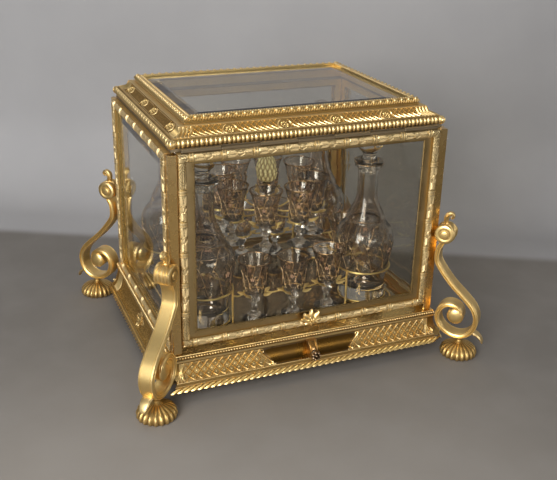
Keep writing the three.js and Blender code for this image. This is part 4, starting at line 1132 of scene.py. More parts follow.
def build_base(sizes):
    base_body()
    low, high, edge = PLATE_LOW.z, PLATE_HIGH.z, PLATE_OUT
    section = [
        (edge - 0.6, low), (edge - 0.6, low + 0.4), (edge - 1.8, low + 0.8), (edge - 1.9, high - 1.6),
        (edge - 1.5, high - 0.9), (edge - 1.8, high - 0.1), (edge - 2.4, high), (-14, high), (-14, high - 3),
        (-19, high - 3), (-19, low),
    ]
    plate = mitred(Shape(), section, HALF_X, HALF_Y, grime=lambda j: 1.0 if j < 5 else 0.15)
    dress("base_plate_dressed", plate, ("burnished gilt",), "case", "gilt", "base_top_plate")

    edges, tips = [], []
    for side, (_, away, half, _) in SIDES.items():
        slanted = (away + Vector((0, 0, 0.35))).normalized()
        edges.append((level(side, half + edge - 1.4, edge - 1.4, low + 2.7), slanted))
        end = half + corner_run(BASE_OUT) - sizes.leaf_pitch / 2
        tips.append((level(side, end, BASE_OUT - 1.3, FOOT_LINE - 0.4), away))
    strung("base_beads", "case", edges, bead(sizes.bead_radius, 1.1), sizes.bead_pitch, "chased gilt")
    leaf = leaf_tip(sizes.leaf_pitch * 1.55, 8.2, 13.0)
    strung("base_leaf_band", "case", tips, leaf, sizes.leaf_pitch, "plain gilt")

    base_lattice_grounds()
    base_middle_ground()
    width = sizes.base_lattice
    first, last = 61.5 + width / 2, HALF_X - 11.0 - width / 2
    away = SIDES["front"][1]
    spans = [([on_side("front", x, 0, 0) for x in ends], away) for ends in ((first, last), (-last, -first))]
    strung("base_lattice", "case", spans, lattice_cell(COVE, width, 1.45, 1.0, 0.75, 0.45), width, "chased gilt")

    marks = Shape()
    for side in ROUND_SIDES:
        side_cartouche(marks, COVE, side, COVE.length / 2, 6.6)
    dress("base_cartouches", marks, ("chased gilt",), "case", "gilt")
    corner_leaves("base_side_leaves", "case", COVE, ROUND_SIDES, 13, 5, 14, 3.4, 1.1, 4.4)
    refinish("floor_mirror", "mirror floor")
    refinish("base_underplate", "dark bronze")


def build_posts(sizes):
    for name in CORNERS:
        shape = chamfered(Shape(), *span("post_" + name), sizes.post_chamfer)
        dress("corner_post_" + name, shape, ("post gilt",), "case", "polished_gilt", "post_" + name, sharp=20)


# ---------------------------------------------------------------- catch


BORE = 2.5
COUNTERBORE = 3.7


def bored(piece, tool):
    """Cuts the shape of a tool out of a piece, and drops the tool."""
    cut = piece.modifiers.new("Bore", "BOOLEAN")
    cut.operation, cut.solver, cut.object = "DIFFERENCE", "EXACT", tool
    bpy.context.view_layer.update()
    shown = piece.evaluated_get(bpy.context.evaluated_depsgraph_get())
    old, piece.data = piece.data, tidy(bpy.data.meshes.new_from_object(shown), 32)
    piece.data.name = old.name
    piece.modifiers.clear()
    bpy.data.meshes.remove(old)
    drop(tool)


def coil(low, high, wire, turns, steps=24, sides=8):
    """A compression spring along Y that fills a box, with half a turn closed at each end."""
    middle = (low + high) / 2
    radius = (high.x - low.x) / 2 - wire
    rows = []
    for i in range(turns * steps + 1):
        angle = TAU * i / steps
        away = Vector((math.cos(angle), 0, math.sin(angle)))
        climb = min(1.0, max(0.0, (i / steps - 0.5) / (turns - 1)))
        centre = Vector((middle.x, low.y + wire + climb * (high.y - low.y - 2 * wire), middle.z)) + away * radius
        rows.append([
            centre + (away * math.cos(TAU * k / sides) + Vector((0, math.sin(TAU * k / sides), 0))) * wire
            for k in range(sides)
        ])
    return skin(Shape(), rows, grime=0.3)


def catch_bracket():
    """Waisted bracket that follows the cove behind it, before its bore is cut."""
    low, high = span("catch_bracket")
    half = (high.x - low.x) / 2
    # share of the height from the top, height and reach
    profile = [
        (0.0, high.z, 9.0), (0.12, high.z - 1.2, 10.2), (0.3, high.z - 5, 13.6), (0.5, high.z - 9, 15.6),
        (0.7, low.z + 7, 16.4), (0.88, low.z + 3, 16.0), (1.0, low.z, 13.6),
    ]
    rows = []
    for share, z, out in profile:
        w = half * (1.0 - 0.22 * math.sin(math.pi * share))
        back_out = max(0.5, next((p.x for p in COVE.section if p.y >= z), COVE_HEAD[0]) - 0.8)
        row = []
        for s in (-1, -0.85, -0.5, 0, 0.5, 0.85, 1):
            row.append(on_side("front", w * s, out - 0.9 * s * s - (0.5 if abs(s) == 0.85 else 0), z))
        row += [on_side("front", w * 0.9, back_out, z), on_side("front", -w * 0.9, back_out, z)]
        rows.append(row)
    shape = skin(Shape(), rows, grime=lambda i, j: 0.7 if j in (1, 5) or j > 6 else 0.1)
    return make("catch_bracket_dressed", shape, [finish("warm bronze")])


def build_catch(sizes):
    low, high = span("catch_button")
    centre_z = (low.z + high.z) / 2
    matrix = stood_up("front", -low.y - HALF_Y - 4.0, centre_z)
    spring_low, spring_high = span("catch_spring")
    seat = spring_low.y - spring_high.y - 0.6
    bore = [(0, -30), (BORE, -30), (BORE, seat), (COUNTERBORE, seat), (COUNTERBORE, 10), (0, 10)]
    bracket = catch_bracket()
    bored(bracket, make("catch_bore_tool", Shape().merge(lathe(Shape(), bore, 32), matrix), []))
    fit_on(bracket, "case", "dark_bronze", "catch_bracket")

    button = Shape().merge(rosette((high.x - low.x) / 2, 3.9, 7, heart=0.36), matrix)
    stem = [(0, -26), (3.4, -26), (3.6, -25.6), (3.6, -24.6), (2.0, -24.2), (2.0, -0.25), (4.6, -0.2), (0, -0.2)]
    button.merge(lathe(Shape(), stem, 24), matrix)
    dress("catch_button_dressed", button, ("dark bronze",), "catch", "dark_bronze", "catch_button")

    coils = coil(spring_low, spring_high, sizes.spring_wire, 4)
    spring = make("catch_spring_coil", coils, [finish("spring steel")])
    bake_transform(spring)
    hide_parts("catch_spring")


# ---------------------------------------------------------------- side screens and front flap


MOULD_WIDTH = 8.5
MOULD_RISE = 2.8
FLAP_BARREL = 1.6
LID_BARREL = 2.6


def half_round(steps=12):
    """Section of an engraved moulding, from its outer to its inner edge, with its place round the moulding."""
    points = arc((-MOULD_WIDTH / 2, 0), (MOULD_WIDTH / 2, MOULD_RISE), 0, 180, steps)
    return [(o, z, i / steps) for i, (o, z) in enumerate(points)]


def stood_up(side, out, up):
    """Matrix that stands a panel up on one side: its X along the side, its Y up and its Z outward."""
    run, away, _, _ = SIDES[side]
    matrix = Matrix((run, Vector((0, 0, 1)), away)).transposed().to_4x4()
    matrix.translation = on_side(side, 0, out, up)
    return matrix


def moulded_frame(half_x, half_y, back, slip, matrix):
    """Mitred frame with an engraved half-round, and a plain slip inside it as slip gives its section."""
    round_part = half_round()
    section = [(0.0, -back, 0.0), *round_part, *[(o, z, 1.0) for o, z in slip], (-MOULD_WIDTH + 0.3, -back, 1.0)]
    last = len(round_part)
    flat = mitred(
        Shape(), [(o, z) for o, z, _ in section], half_x, half_y,
        v=[m for _, _, m in section] + [1.0],
        grime=lambda j: 0.8 if j in (0, 1, last, last + 1) else 0.0,
        slot=lambda j: 1 if 1 <= j < last else 0,
    )
    return Shape().merge(flat, matrix)


def over_moulding(x, angle, lift):
    """Point over a half-round moulding: X along it, Y across it and Z outward."""
    return Vector((x, (MOULD_WIDTH / 2 + lift) * math.cos(angle), (MOULD_RISE + lift) * math.sin(angle)))


def double_ring():
    """Two fine bands over a half-round moulding."""
    shape = Shape()
    for x in (-1.6, 1.6):
        rows = []
        for t in shares(10):
            angle = math.radians(6 + 168 * t)
            edges = ((-0.95, -0.3), (-0.45, 0.6), (0.45, 0.6), (0.95, -0.3))
            rows.append([over_moulding(x + dx, angle, lift) for dx, lift in edges])
        skin(shape, rows, grime=lambda i, j: 1.0 if j in (0, 3) else 0.0)
    return shape


def segment_leaves(length):
    """Slanting leaves on both sides of a lozenge, over one segment of a half-round moulding."""
    shape = Shape()
    place = lambda x, d, lift: over_moulding(x, math.radians(90 - 17.5 * d), lift)
    free = length / 2 - 3.4
    for hand in (-1, 1):
        for side in (-1, 1):
            for k in range(5):
                x = 3.8 + (free - 7.0) * k / 4
                line = [(hand * (x + 3.4 * t), side * (0.5 + 3.6 * t - 0.8 * t * t)) for t in (0, 0.3, 0.65, 1.0)]
                ridge(shape, place, line, swelling(1.5), swelling(0.26, 0.1), grime=0.9, steps=2)
            line = [(hand * 4.6 * t, side * 3.0 * (1 - t)) for t in (0.04, 0.35, 0.7, 0.96)]
            ridge(shape, place, line, 0.8, 0.36, grime=0.8, steps=2)
    ridge(shape, place, [(-2.2, 0), (-0.8, 0), (0.8, 0), (2.2, 0)], swelling(1.9), 0.36, grime=0.8, steps=2)
    return shape


def ring_lines(half_x, half_y, matrix, pitch, share):
    """Lines along the four members of a frame, as long as whole segments less a share of one at each end."""
    lines = []
    middle = MOULD_WIDTH / 2
    away = matrix.to_3x3() @ Vector((0, 0, 1))
    for half, fixed, along, across in (
        (half_x, half_y - middle, Vector((1, 0, 0)), Vector((0, 1, 0))),
        (half_y, half_x - middle, Vector((0, 1, 0)), Vector((1, 0, 0))),
    ):
        reach = pitch * (math.floor((half - 9) / pitch) - share) + 0.02
        for sign in (-1, 1):
            ends = [matrix @ (across * sign * fixed + along * end) for end in (-reach, reach)]
            lines.append((ends, away))
    return lines


def trim_moulding(name, body, half_x, half_y, matrix, pitch):
    """Double rings and slanting leaves over the engraved moulding of a frame."""
    for part, form, share in (("rings", double_ring(), 0.0), ("leaves", segment_leaves(pitch), 0.5)):
        lines = ring_lines(half_x, half_y, matrix, pitch, share)
        strung(name.format(part), body, lines, form, pitch, "ringed gilt")


def build_screens(sizes):
    middle = (SCREEN_LOW.z + SCREEN_HIGH.z) / 2
    half_y = (SCREEN_HIGH.z - SCREEN_LOW.z) / 2
    slip = [(-0.1, -1.5), (-1.9, -1.5), (-2.2, -1.8), (-2.2, -3.0), (0.3, -3.0)]
    for side in ROUND_SIDES:
        half_x = SIDES[side][2] - POST - 0.3
        matrix = stood_up(side, 0.0, middle)
        shape = moulded_frame(half_x, half_y, 9.0, [(o - MOULD_WIDTH, z) for o, z in slip], matrix)
        dress("screen_" + side, shape, ("plain gilt", "engraved gilt"), "case", "gilt", side + "_frame")
        trim_moulding("screen_{}_" + side, "case", half_x, half_y, matrix, sizes.segment)
        refinish(side + "_glass", "pane glass")


def pin_of(node):
    """A hinge pin along X: its length and the Y and Z of its middle."""
    low, high = span(node)
    return high.x * 2, (low.y + high.y) / 2, (low.z + high.z) / 2


def barrels(shape, pin, count, odd, radius, tab, slot=0):
    """Every other knuckle of a hinge on a pin: a barrel with softened ends, and its tab."""
    length, y, z = pin
    pitch = length / count
    half = (pitch - 0.5) / 2
    profile = (
        (-half, 0.0), (-half, radius * 0.85), (-half + 0.3, radius), (half - 0.3, radius), (half, radius * 0.85),
        (half, 0.0),
    )
    for i in range(odd, count, 2):
        x = (i + 0.5) * pitch - length / 2
        rows = []
        for dx, r in profile:
            turn = [TAU * j / 18 for j in range(18)]
            rows.append([Vector((x + dx, y + r * math.cos(a), z + r * math.sin(a))) for a in turn])
        # knuckles are darkened: grime and painted shade of the gap they sit in
        skin(shape, rows, grime=0.95, slot=slot)
        low, high = (x - half, y + tab[0], z + tab[2]), (x + half, y + tab[1], z + tab[3])
        chamfered(shape, low, high, 0.2, grime=0.9, slot=slot)


def flap_slip(shape, half_x, half_y, matrix):
    """Plain slip inside the flap's moulding."""
    rows = []
    # insets at the sides, below and above, and the height
    for beside, under, over, z in (
        (8.2, 8.2, 8.2, -2.5), (17.4, 15.9, 11.9, -2.5), (18.0, 16.5, 12.5, -3.0), (18.0, 16.5, 12.5, -4.0),
        (8.2, 8.2, 8.2, -4.0),
    ):
        x, low, high = half_x - beside, under - half_y, half_y - over
        turns = [matrix @ Vector(p) for p in ((-x, low, z), (x, low, z), (x, high, z), (-x, high, z))]
        rows.append([p.lerp(q, s) for p, q in zip(turns, turns[1:] + turns[:1]) for s in PARTS[:-1]])
    skin(shape, rows, along=True, grime=lambda i, j: 0.7 if i in (0, 4) else 0.0, slot=2)


def flap_pull():
    """Leaf pull: eight leaves with raised veins, and a rosette over their stems."""
    pull = Shape()
    base, foot, height = -PULL_HIGH.y, PULL_LOW.z, PULL_HIGH.z - PULL_LOW.z
    place = lambda x, d, lift: Vector((x, -(base + 0.7 + lift), foot + d))
    leaves = [(0, 8, 0, height - 0.4, 7.0, 3.0)]
    for hand in (-1, 1):
        leaves += [
            (hand, 7, 8.4 * hand, 18.0, 6.6, 2.7), (2 * hand, 6, 11.6 * hand, 11.0, 6.2, 2.5),
            (hand, 6, 7.8 * hand, 2.2, 5.4, 2.3),
        ]
    leaves.append((0, 6, 0, 0.2, 5.0, 2.4))
    for x0, d0, x1, d1, width, rise in leaves:
        line = swung(x0, d0, x1, d1, 9)
        ridge(pull, place, line, swelling(width), swelling(0.55 * rise, 0.45 * rise), grime=0.8, under=0.7)
        raised = lambda x, d, lift, r=rise: place(x, d, lift + r * 0.62)
        ridge(pull, raised, line[2:-1], swelling(1.1), 0.5, grime=0.0, steps=2)
    pull.merge(rosette(4.8, 2.4, 6, 30), stood_up("front", base + 1.4 - HALF_Y, foot + 8.4))
    dress("flap_pull_dressed", pull, ("chased gilt",), "front_flap", "gilt", "flap_pull")


def build_flap(sizes):
    low, high = span("flap_frame")
    top = SCREEN_HIGH.z + 1.0
    half_x, half_y = (high.x - low.x) / 2, (top - low.z) / 2
    matrix = stood_up("front", 0.5, (low.z + top) / 2)
    shape = moulded_frame(half_x, half_y, 8.0, [(-MOULD_WIDTH, -2.3)], matrix)
    flap_slip(shape, half_x, half_y, matrix)
    # the flap's own knuckles take the painted shadow gilt
    barrels(shape, pin_of("flap_hinge_pin"), 7, 1, FLAP_BARREL, (-0.8, 0.8, -2.3, -0.8), slot=3)
    finishes = ("plain gilt", "engraved gilt", "slip gilt", "shaded gilt")
    dress("flap_frame_dressed", shape, finishes, "front_flap", "gilt", "flap_frame")
    trim_moulding("flap_{}", "front_flap", half_x, half_y, matrix, sizes.segment)
    refinish("flap_glass", "pane glass")
    refinish("flap_hinge_pin", "spring steel")
    flap_pull()


# ---------------------------------------------------------------- lid


REED_RADIUS = 4.4
REED_CORE = REED_RADIUS - 0.9
REED = (-7.7, (RIM_LOW.z + 4.7) + REED_RADIUS)
REED_UNDER, REED_OVER = REED[1] - REED_RADIUS, REED[1] + REED_RADIUS
SLOPE_BOW = 2.2
SLOPE = Band([
    (
        -(8.6 + 10.9 * t + SLOPE_BOW * math.sin(math.pi * t)),
        FRIEZE_LOW.z + (FRIEZE_HIGH.z - FRIEZE_LOW.z) * t - SLOPE_BOW * math.sin(math.pi * t),
    )
    for t in shares(14)
])
LONG_PANELS = ((-21.4, 21.4), (38.4, 81.2), (-81.2, -38.4), (98, 134.6), (-134.6, -98))
SHORT_PANELS = ((-76, -29), (-11, 11), (29, 76), (94, 108), (-108, -94))
LONG_ROSETTES = (-89.7, -29.9, 29.9, 89.7)
SHORT_ROSETTES = (-85, -20, 20, 85)


def gadroon_pair():
    """Two lobes over the half-round rim: X along it, Y up and Z outward from its centre."""
    shape = Shape()

    def place(x, d, lift):
        reach, angle = REED_CORE + lift, d / REED_CORE
        return Vector((x, reach * math.sin(angle), reach * max(0.0, math.cos(angle)) ** 0.5))

    for x, wide in ((-2.5, 4.3), (2.2, 3.6)):
        line = [(x, REED_CORE * math.radians(-84 + 168 * t)) for t in shares(8)]
        rise = lambda t: 0.2 + 1.35 * math.sin(math.pi * t) ** 0.4
        ridge(shape, place, line, wide, rise, grime=1.0, steps=4, sharpness=1.4)
    return shape


def lid_rim():
    """Core of the gadrooned rim, the skirt under it and both hinges' knuckles."""
    round_part = arc(REED, (REED_CORE, REED_CORE), -80, 80, 12)
    section = [
        (-14, REED_UNDER + 0.3), (REED[0], REED_UNDER), *round_part, (REED[0], REED_OVER), (-8.6, REED_OVER + 0.4),
        (-14, REED_OVER + 0.4),
    ]
    shape = mitred(Shape(), section, HALF_X, HALF_Y, grime=lambda j: 0.95 if 1 < j < 16 else 0.3)
    for side, (_, _, half, _) in SIDES.items():
        foot = SCREEN_HIGH.z + (1.5 if side == "front" else 0.3)
        skirt = [(-9, foot), (-5.8, foot), (-5.5, foot + 0.3), (-5.8, REED_UNDER + 0.2), (-9, REED_UNDER + 0.4)]
        rows = [[on_side(side, end * (half + p), p, q) for p, q in skirt] for end in (-1, 1)]
        # the skirt is painted as the shadow under the rim: full darkness in a near-black gilt
        strip(shape, rows, [-half, half], grime=1.0, slot=1)
    flap_pin, lid_pin = pin_of("flap_hinge_pin"), pin_of("lid_hinge_pin")
    # the flap hinge's knuckles on the lid are in the painted shadow gilt too
    barrels(shape, flap_pin, 7, 0, FLAP_BARREL, (-0.8, 3.0, 0.8, REED_UNDER + 0.3 - flap_pin[2]), slot=1)
    root = REED_UNDER - lid_pin[2]
    barrels(shape, lid_pin, 5, 1, LID_BARREL, (-11.2, 0.0, root, root + 1.6))
    dress("lid_rim_dressed", shape, ("plain gilt", "shaded gilt"), "lid", "gilt", "lid_rim")


def lid_corner_knobs():
    """Leafy knobs where the rim's gadroons meet."""
    knobs = Shape()
    profile = [(0, -4.6), (2.2, -4.2), (3.6, -2.4), (4.1, 0), (3.6, 2.4), (2.2, 4.2), (0, 4.7)]
    for x, y in CORNERS.values():
        middle = Vector((x * (HALF_X + REED[0] + 1.4), y * (HALF_Y + REED[0] + 1.4), REED[1]))
        knobs.merge(lathe(Shape(), profile, 20, grime=0.3), Matrix.Translation(middle))
        for k in range(5):
            turn = math.atan2(y, x) + math.radians(-60 + 30 * k)

            def place(a, d, lift):
                reach, around = (3.9 + lift) * math.cos(d / 4.4), turn + a / 4
                high = (4.2 + lift) * math.sin(d / 4.4)
                return middle + Vector((reach * math.cos(around), reach * math.sin(around), high))

            ridge(knobs, place, straight(0, -4.8, 0, 4.8, 6), swelling(1.9), swelling(0.9), grime=0.9)
    dress("lid_rim_corners", knobs, ("chased gilt",), "lid", "gilt")


def lid_frieze(sizes):
    """Sloping frieze: punched and plain grounds, and lattice panels along the front and back."""
    frieze = Shape()
    top = FRIEZE_HIGH.z
    section = [tuple(p) for p in SLOPE.section] + [(-37, top), (-37, top - 2.2), (-22, top - 4.4), (-14, FRIEZE_LOW.z)]
    last = len(SLOPE.section) - 1
    for side, (_, _, half, _) in SIDES.items():
        rows = [[on_side(side, end * (half + p), p, q) for p, q in section] for end in (-1, 1)]
        ground = 1 if side in ("left", "right") else 2
        strip(
            frieze, rows, [-half, half],
            grime=lambda j: 1.0 if j in (0, last) else 0.9, slot=lambda j, g=ground: g if j < last else 0,
        )
    dress("lid_frieze_dressed", frieze, ("plain gilt", "punched gilt", "frieze gilt"), "lid", "gilt", "lid_frieze")

    cell = sizes.frieze_lattice
    spans = []
    for side in ("front", "back"):
        for start, stop in LONG_PANELS:
            inset = (stop - start) / max(1, round((stop - start) / cell)) / 2
            ends = [on_side(side, x, 0, 0) for x in (start + inset, stop - inset)]
            spans.append((ends, SIDES[side][1]))
    strung("lid_lattice", "lid", spans, lattice_cell(SLOPE, cell, 1.1, 0.8), cell, "chased gilt")


def lid_rosettes():
    """Rosettes between curved leaves on the frieze, and the fine lines round its panels."""
    marks = Shape()
    middle = SLOPE.length / 2
    for side in SIDES:
        short = side in ("left", "right")
        place = SLOPE.beside(side)
        for x in SHORT_ROSETTES if short else LONG_ROSETTES:
            marks.merge(rosette(4.6, 1.7, 8, 32), lodged(SLOPE, side, x, middle, lift=0.25))
            for hand in (-1, 1):
                line = arc((x, middle), (hand * 7.4, 6.7), -62, 62, 10)
                wide, rise = lambda t: 0.6 + 1.9 * math.sin(math.pi * t), lambda t: 0.35 + 0.9 * math.sin(math.pi * t)
                ridge(marks, place, line, wide, rise, grime=0.8)
        for d, inset in ((0.7, 9), (SLOPE.length - 0.7, 19)):
            end = SIDES[side][2] - inset
            ridge(marks, place, straight(-end, d, end, d, 12), 0.9, 0.7, grime=0.7, steps=2)
        for x0, x1 in SHORT_PANELS if short else ():
            for d in (2.6, SLOPE.length - 2.6):
                ridge(marks, place, straight(x0, d, x1, d, 4), 0.8, 0.5, grime=0.7, steps=2)
    dress("lid_rosettes", marks, ("chased gilt",), "lid", "gilt")


def lid_top(sizes):
    """Top frame with its outer rope of leaves and beads and its inner row of beads."""
    low, high = TOP_LOW.z, TOP_HIGH.z
    section = [
        (-25, low), (-24.8, low + 0.8), (-25.3, low + 1.4), (-25.3, high - 4.4), (-25.0, high - 3.9),
        (-25.4, high - 3.3), (-26.6, high - 2.9), (-28.2, high - 2.1), (-28.5, high - 1.1), (-30.0, high - 1.1),
        (-30.3, high - 1.9), (-32.9, high - 1.9), (-33.2, high - 1.2), (-33.5, high - 1.6), (-33.5, low),
    ]
    hollows = (0, 2, 3, 5, 6, 7, 10, 11)
    cap = mitred(Shape(), section, HALF_X, HALF_Y, grime=lambda j: 0.9 if j in hollows else 0.1)
    dress("lid_top_frame_dressed", cap, ("plain gilt",), "lid", "gilt", "lid_top_frame")
    outer, inner = [], []
    for side, (_, away, half, _) in SIDES.items():
        up = (away + Vector((0, 0, 1.1))).normalized()
        outer.append((level(side, half - 28.8, -26.5, high - 3.15), up))
        inner.append((level(side, half - 32.2, -31.6, high - 1.9), Vector((0, 0, 1))))
    rope = Shape().merge(bead(2.2, 1.15), Matrix.Translation(Vector((0, 1.0, 0.1))))
    for x in (-2.9, 0.0, 2.9):
        line = straight(x - 1.9, -3.0, x + 1.3, 1.6, 6)
        ridge(rope, lambda x, y, lift: Vector((x, y, lift)), line, swelling(2.3), swelling(1.3), grime=0.95)
    strung("lid_outer_beads", "lid", outer, rope, sizes.top_bead_pitch, "chased gilt")
    strung("lid_inner_beads", "lid", inner, bead(1.3, 1.1), 3.0, "chased gilt")


def build_lid(sizes):
    lid_rim()
    lines = []
    for side, (_, away, half, _) in SIDES.items():
        lines.append((level(side, half + REED[0] - sizes.gadroon / 2 + 1.5, *REED), away))
    strung("lid_gadroons", "lid", lines, gadroon_pair(), sizes.gadroon, "chased gilt")
    lid_corner_knobs()
    lid_frieze(sizes)
    lid_rosettes()
    corner_leaves("lid_corner_leaves", "lid", SLOPE, SIDES, 12.5, 4, 12, 3.8, 1.2, -6.4)
    lid_top(sizes)
    refinish("lid_glass", "pane glass")
    refinish("lid_hinge_leaf", "plain gilt")
    refinish("lid_hinge_pin", "spring steel")


# ---------------------------------------------------------------- legs and feet


# points in the leg's own frame: outward along the diagonal and up
LEG_PATH = [
    (8.0, 143.1), (4.2, 135.1), (3.2, 127.1), (4.2, 119.0), (9.9, 109.5), (24.4, 92.2), (41.6, 76.5), (51.5, 65.5),
    (56.0, 54.1), (54.5, 41.0), (48.5, 32.0), (38.4, 27.3), (25.5, 29.0), (15.2, 36.3), (10.4, 47.4), (12.2, 57.8),
    (18.0, 64.5), (25.0, 66.5), (33.0, 64.1), (37.5, 57.0), (35.0, 49.0),
]
SCROLL = (9.3, 154.0)
SCROLL_RADIUS = 11.1
SCROLL_END = [
    (-11.0, 0.0), (-11.0, 3.2), (-10.6, 4.4), (-9.6, 4.8), (-9.4, 6.2), (-10.0, 7.4), (-9.9, 9.4), (-9.2, 10.9),
    (-8.0, 11.6), (-5.0, 11.2),
]
SCROLL_NECK = [(0, 162.5), (4.6, 162.8), (5.0, 164.0), (3.4, 165.4), (3.0, 166.8), (3.6, 167.6), (0, 168.4)]
BUD_PATH = [
    (9.3, 163.5), (8.6, 168.5), (8.9, 173.2), (11.6, 177.0), (15.0, 177.4), (16.6, 174.6), (15.2, 172.2), (13.0, 172.8),
]
BUD_RADII = [2.4, 2.9, 3.5, 3.7, 3.2, 2.4, 1.7, 0.8]
VOLUTE = (31.5, 52.5)
VOLUTE_END = [(-9.6, 0), (-9.5, 3), (-9.2, 5.4), (-8.6, 7.6), (-7.8, 9.2), (-6.8, 9.9)]
# outward, up, half width and half thickness
SPUR = [
    (49.5, 33.6, 6.0, 2.6), (54.5, 33.0, 6.1, 2.3), (59.0, 31.0, 5.9, 1.9), (62.8, 27.8, 5.3, 1.5),
    (65.4, 23.4, 4.2, 1.1), (66.0, 20.8, 2.6, 0.7),
]
FOOT_OUT = 38.4
SADDLE = [(0, 22.4), (4.6, 22.5), (5.4, 23.4), (4.4, 24.6), (4.8, 26.2), (0, 26.4)]
FOOT_PROFILE = [
    (13.5, 0.3), (17.4, 0.2), (19.4, 1.2), (20.2, 3.2), (20.2, 5.6), (19.6, 8.0), (18.6, 10.2), (16.2, 12.2),
    (13.2, 13.9), (10.2, 15.3), (7.6, 16.3), (6.4, 16.6), (5.6, 17.6), (3.9, 18.6), (3.4, 20.0), (3.5, 21.4),
    (4.4, 22.6), (0, 22.9),
]
FOOT_SWELL = [0, 0.6, 1, 1, 1, 0.95, 0.85, 0.7, 0.5, 0.3, 0.12, 0, 0, 0, 0, 0, 0, 0]


def leg_matrix(x, y):
    """Leg frame at a corner: X outward along the diagonal, Y across the leg and Z up."""
    out = Vector((x, y, 0)).normalized()
    matrix = Matrix((out, UP.cross(out), UP)).transposed().to_4x4()
    matrix.translation = Vector((x * HALF_X, y * HALF_Y, 0))
    return matrix


def ribbon_section():
    """Half widths and thicknesses of the leg's ribbon: fine lines near its edges and a ridge along each side."""
    quarter = [
        (0.0, 3.0), (5.9, 3.0), (6.15, 2.72), (6.55, 2.72), (6.8, 3.0), (8.0, 2.95), (8.45, 2.5), (8.45, 1.95),
        (7.75, 1.45), (8.1, 0.8), (8.5, 0.0),
    ]
    right = quarter + [(w, -n) for w, n in reversed(quarter[:-1])]
    return right + [(-w, n) for w, n in reversed(right[1:-1])]


def wheel(centre, end, middle, turns):
    """Rows of a form turned about an axis across the leg. end gives [across, radius] up to its middle."""
    profile = [*end, (0, middle), *[(-w, r) for w, r in reversed(end)]]
    return [
        [Vector((centre[0] + r * math.cos(a), w, centre[1] + r * math.sin(a))) for a in (TAU * j / turns for j in range(turns))]
        for w, r in profile
    ]


def leg_scroll(shape):
    """Upper scroll with ringed ends, under five lobed leaves."""
    rings = (3, 4, 9, 10, 11, 16, 17)
    skin(shape, wheel(SCROLL, SCROLL_END, 11.0, 36), grime=lambda i, j: 0.85 if i in rings else 0.1)

    def around(w, angle, lift):
        reach = SCROLL_RADIUS + lift
        return Vector((SCROLL[0] + reach * math.cos(angle), w, SCROLL[1] + reach * math.sin(angle)))

    dirt_and_shade = (0.9, 0.2, 0.2, 0.7, 0.2, 0.2, 0.9, 1, 1)
    for w, width, start, stop in (
        (0, 4.6, -75, 128), (-4.4, 4.2, -62, 118), (4.4, 4.2, -62, 118), (-7.6, 2.6, -50, 100), (7.6, 2.6, -50, 100),
    ):
        rows = []
        for t in shares(14):
            angle = math.radians(start + (stop - start) * t)
            half = width / 2 * (0.35 + 0.65 * plump(t)) * (1 + 0.12 * math.sin(9 * math.pi * t))
            rise = 1.5 * (0.3 + 0.7 * plump(t)) * (0.86 + 0.14 * math.cos(9 * math.pi * t))
            middle = w * (0.25 + 0.75 * math.sin(math.pi * min(1, 0.2 + 0.8 * t)))
            row = []
            for s in (-1, -0.6, -0.2, 0, 0.2, 0.6, 1):
                row.append(around(middle + half * s, angle, rise * (1 - s * s) - (0.25 if s == 0 else 0)))
            rows.append(row + [around(middle + half, angle, -0.4), around(middle - half, angle, -0.4)])
        skin(shape, rows, grime=lambda i, j: dirt_and_shade[j])


def leg_bud(shape):
    """Ribbed bud that curls over on top of the scroll, and its neck."""
    line = evenly(rounded([(a, 0, b) for a, b in BUD_PATH], 5), 26)
    side = Vector((0, 1, 0))
    turns = 24
    rows = []
    for i, p in enumerate(line):
        t = i / (len(line) - 1) * (len(BUD_RADII) - 1)
        k = min(len(BUD_RADII) - 2, int(t))
        r = BUD_RADII[k] + (BUD_RADII[k + 1] - BUD_RADII[k]) * (t - k)
        up = (line[min(i + 1, len(line) - 1)] - line[max(i - 1, 0)]).normalized().cross(side)
        row = []
        for a in (TAU * j / turns for j in range(turns)):
            row.append(p + (side * math.cos(a) * 1.25 + up * math.sin(a) * 0.8) * r * (1 + 0.13 * math.cos(6 * a)))
        rows.append(row)
    skin(shape, rows, grime=lambda i, j: 0.5 - 0.25 * math.cos(6 * TAU * j / turns))
    lathe(shape, SCROLL_NECK, 24, (SCROLL[0], 0, 0), grime=0.2)


def leg_spur(shape):
    """Leaf spur under the leg's knee, and the saddle on the foot."""
    rows = []
    for i, (t, z, half, thick) in enumerate(SPUR):
        before, after = SPUR[max(0, i - 1)], SPUR[min(len(SPUR) - 1, i + 1)]
        step = Vector((after[0] - before[0], 0, after[1] - before[1])).normalized()
        over = Vector((-step.z, 0, step.x))
        row = []
        for a, b in ((-1, 0), (-0.8, 0.8), (0, 1.1), (0.8, 0.8), (1, 0), (0.8, -0.8), (0, -1), (-0.8, -0.8)):
            row.append(Vector((t, half * a, z)) + over * b * thick)
        rows.append(row)
    skin(shape, rows, grime=lambda i, j: 0.1 if j in (1, 2, 3) else 0.45)
    lathe(shape, SADDLE, 24, (FOOT_OUT, 0, 0), grime=0.4)


